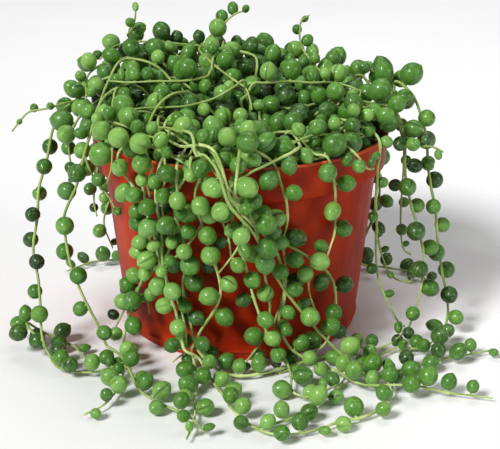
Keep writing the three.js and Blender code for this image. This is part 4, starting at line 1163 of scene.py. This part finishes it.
leafShape = {
    "steps": 8,
    "outline": (
        (0, -1.0), (0.5, -0.88), (0.9, -0.46), (1.0, 0.0),
        (0.9, 0.46), (0.54, 0.86), (0.11, 1.01), (0, 1.2),
    ),
    "fill": 1.09,  # makes up for what the rounding takes off
    "length": 2.22,  # from pole to tip
    "pole": 0.2,  # the window line ends so near to the axis
    "lips": 1.5,  # its lips lie within so many of its half widths
    "width": 1.01,
    "slimming": 0.45,  # how much narrower a long leaf is
    "creases": ((9, 0.16, 0.97), (15, 0.4, 1.0)),  # half width in degrees, depth, reach of the lips
    "creased": 0.1,  # share of the leaves larger than creasedFrom
    "creasedFrom": 3.4,
    "pointed": 0.12,
    "bud": 2.6,  # radius below which a leaf is still a bud
    "stretches": {"bud": (1.25, 1.5), "pointed": (1.08, 1.2), "round": (0.95, 1.02)},
    "faint": 0.6,  # share whose window line hardly shows
    "faintSlit": (0.1, 0.45),
    "clearSlit": (0.65, 0.95),
}


def makeLeafTemplate(slitHalf, slitDepth, slitLip):
    fill = leafShape["fill"]
    outline = [(r * fill, z if r == 0 else z * fill) for r, z in leafShape["outline"]]
    shape = spun(outline, leafShape["steps"])
    for sign in (-1, 1):
        angle = math.radians(slitHalf) * sign
        cut = {}  # keeps its order, as a set wouldn't
        for face in shape.faces:
            middle = face.calc_center_median()
            if 0 < math.atan2(middle.y, middle.x) * sign < math.pi / 4:
                cut.update(dict.fromkeys((face, *face.edges, *face.verts)))
        bmesh.ops.bisect_plane(shape, geom=list(cut), plane_co=(0, 0, 0),
                               plane_no=(-math.sin(angle), math.cos(angle), 0))
    along = shape.verts.layers.float.new("along")
    slit = shape.verts.layers.float.new("slit")
    shape.verts.layers.float.new("toneAndShade")
    for vert in shape.verts:
        vert[along] = clamp((vert.co.z + 1) / leafShape["length"])
        r = math.hypot(vert.co.x, vert.co.y)
        turned = abs(math.degrees(math.atan2(vert.co.y, vert.co.x)))
        if r < leafShape["pole"] or turned > leafShape["lips"] * slitHalf:
            continue
        squeeze = slitLip
        if abs(vert.co.y) < 0.01:  # the bottom of the slit
            vert[slit] = 1
            squeeze = 1 - slitDepth
        vert.co.x *= squeeze
        vert.co.y *= squeeze
    return meshData("leafTemplate", shape)


leafTemplates = [makeLeafTemplate(*crease) for crease in leafShape["creases"]]

leafToneAndShade = {  # 0 is the light green, 1 the dark one; besides each leaf's own tone, this paints shade on the sides, the back and inside the heap
    "least": 0.37,
    "most": 0.8,
    "spread": 0.33,
    "left": (62, 25, 0.26),  # painted shade: darker from here on, in full so much further, by so much
    "right": (55, 22, 0.26),
    "back": (10, 60, 0.22),
    "under": (118, 15),  # the painted shade on the sides lies only below this height
    "deep": (76, 1, 9, 0.4),  # painted shade inside the heap, where the leaves above shade it
}


# Painted shade: leaves low on the sides, at the back and inside the heap get darker, where less light
# reaches them.
def paintedLeafShade(leaf):
    x, y, z = leaf["centre"]
    top, ease = leafToneAndShade["under"]
    under = clamp((top - z) / ease)
    shade = leafToneAndShade["least"]
    for way, share in ((-x, "left"), (x, "right"), (y, "back")):
        start, length, most = leafToneAndShade[share]
        shade += most * clamp((way - start) / length) * (1 if share == "back" else under)
    within, above, depth, most = leafToneAndShade["deep"]
    if math.hypot(x, y) < within:
        shade += most * clamp((heapHeight(x, y) + above - z) / depth)
    return min(leafToneAndShade["most"], shade)


def leafMatrix(leaf):
    axis = Vector(leafAxis(leaf))
    turn = axis.to_track_quat("Z", "Y").to_matrix().to_4x4()
    spin = Matrix.Rotation(math.tau * roll(), 4, "Z")
    kind = "bud"
    if leaf["radius"] >= leafShape["bud"]:
        kind = "pointed" if roll() < leafShape["pointed"] else "round"
    stretch = rollBetween(*leafShape["stretches"][kind])
    width = leaf["radius"] * leafShape["width"] * mm / stretch ** leafShape["slimming"]
    size = Matrix.Diagonal((width, width, width * stretch, 1))
    return Matrix.Translation(Vector(leaf["centre"]) * mm) @ turn @ spin @ size


def makeLeaves(vine):
    shape = bmesh.new()
    shape.from_mesh(leafTemplates[0])
    bmesh.ops.delete(shape, geom=shape.verts, context="VERTS")
    toneAndShade = shape.verts.layers.float["toneAndShade"]
    slit = shape.verts.layers.float["slit"]
    for leaf in vine["leaves"]:
        before = len(shape.verts)
        creased = leaf["radius"] > leafShape["creasedFrom"] and roll() < leafShape["creased"]
        shape.from_mesh(leafTemplates[1 if creased else 0])
        shape.verts.ensure_lookup_table()
        fresh = shape.verts[before:]
        bmesh.ops.transform(shape, matrix=leafMatrix(leaf), verts=fresh)
        # each leaf's painted shade, plus a random tone of its own
        shade = clamp(paintedLeafShade(leaf) + rollBetween(-leafToneAndShade["spread"], leafToneAndShade["spread"]))
        show = rollBetween(*leafShape["faintSlit" if roll() < leafShape["faint"] else "clearSlit"])
        for vert in fresh:
            vert[toneAndShade] = shade
            vert[slit] *= show
    leaves = meshPiece("leaves_" + vine["name"], shape)
    rounded = leaves.modifiers.new("round", "SUBSURF")
    rounded.levels = rounded.render_levels = 1
    finishPiece(leaves, leafSkin, "leaf", "vine_" + vine["name"])


for vine in vines:
    makeStem(vine)
    makeLeaves(vine)
for template in leafTemplates:
    bpy.data.meshes.remove(template)
print("stems and leaves made")

studio = {
    "floorHalf": 4,  # metres
    "floor": (0.9, 0.9, 0.9),
    "floorShade": (0.87, 0.87, 0.87),
    "floorPattern": (3, 0.3, 0.7),
    "floorRoughness": 0.8,
    "world": 0.11,
    "backdrop": 0.9,  # brightness behind the floor
    "aim": (0, 0, 0.06),
    "sun": 3.55,
    "sunFrom": (-0.75, -0.85, 1.05),
    "sunSoftness": 17,  # degrees
    "lights": (  # place, size, watts
        ((0.95, -0.45, 0.5), 0.6, 3),
        ((0.1, 0.5, 1.3), 0.8, 5),
    ),
}


def makeFloor():
    shape = bmesh.new()
    bmesh.ops.create_grid(shape, x_segments=1, y_segments=1, size=studio["floorHalf"])
    floor = linked(meshPiece("studioFloor", shape))
    material, tree, shader, place = newMaterial("paleFloor")
    shade = mask(tree, place, *studio["floorPattern"])
    shade = mixColour(tree, shade, studio["floor"], studio["floorShade"])
    tree.links.new(shade, shader["Base Color"])
    shader["Roughness"].default_value = studio["floorRoughness"]
    floor.data.materials.append(material)


def placeLight(data, place):
    light = linked(bpy.data.objects.new(data.name, data))
    light.location = place
    light.rotation_euler = (Vector(studio["aim"]) - Vector(place)).to_track_quat("-Z", "Y").to_euler()


def placeLights():
    sun = bpy.data.lights.new("sunLight", "SUN")
    sun.energy = studio["sun"]
    sun.angle = math.radians(studio["sunSoftness"])
    placeLight(sun, studio["sunFrom"])
    for number, (place, size, watts) in enumerate(studio["lights"]):
        soft = bpy.data.lights.new(f"softLight{number + 1}", "AREA")
        soft.shape = "DISK"
        soft.size = size
        soft.energy = watts
        placeLight(soft, place)


def makeAir():
    world = bpy.data.worlds.new("studioAir")
    world.use_nodes = True
    tree = world.node_tree
    background = tree.nodes["Background"].inputs
    background[0].default_value = (1, 1, 1, 1)
    straight = addNode(tree, "LightPath", {}).outputs["Is Camera Ray"]
    tree.links.new(fade(tree, straight, 0.0, 1.0, studio["world"], studio["backdrop"]), background[1])
    bpy.context.scene.world = world
    bpy.context.scene.view_settings.view_transform = "Standard"


makeFloor()
placeLights()
makeAir()
print("studio ready")
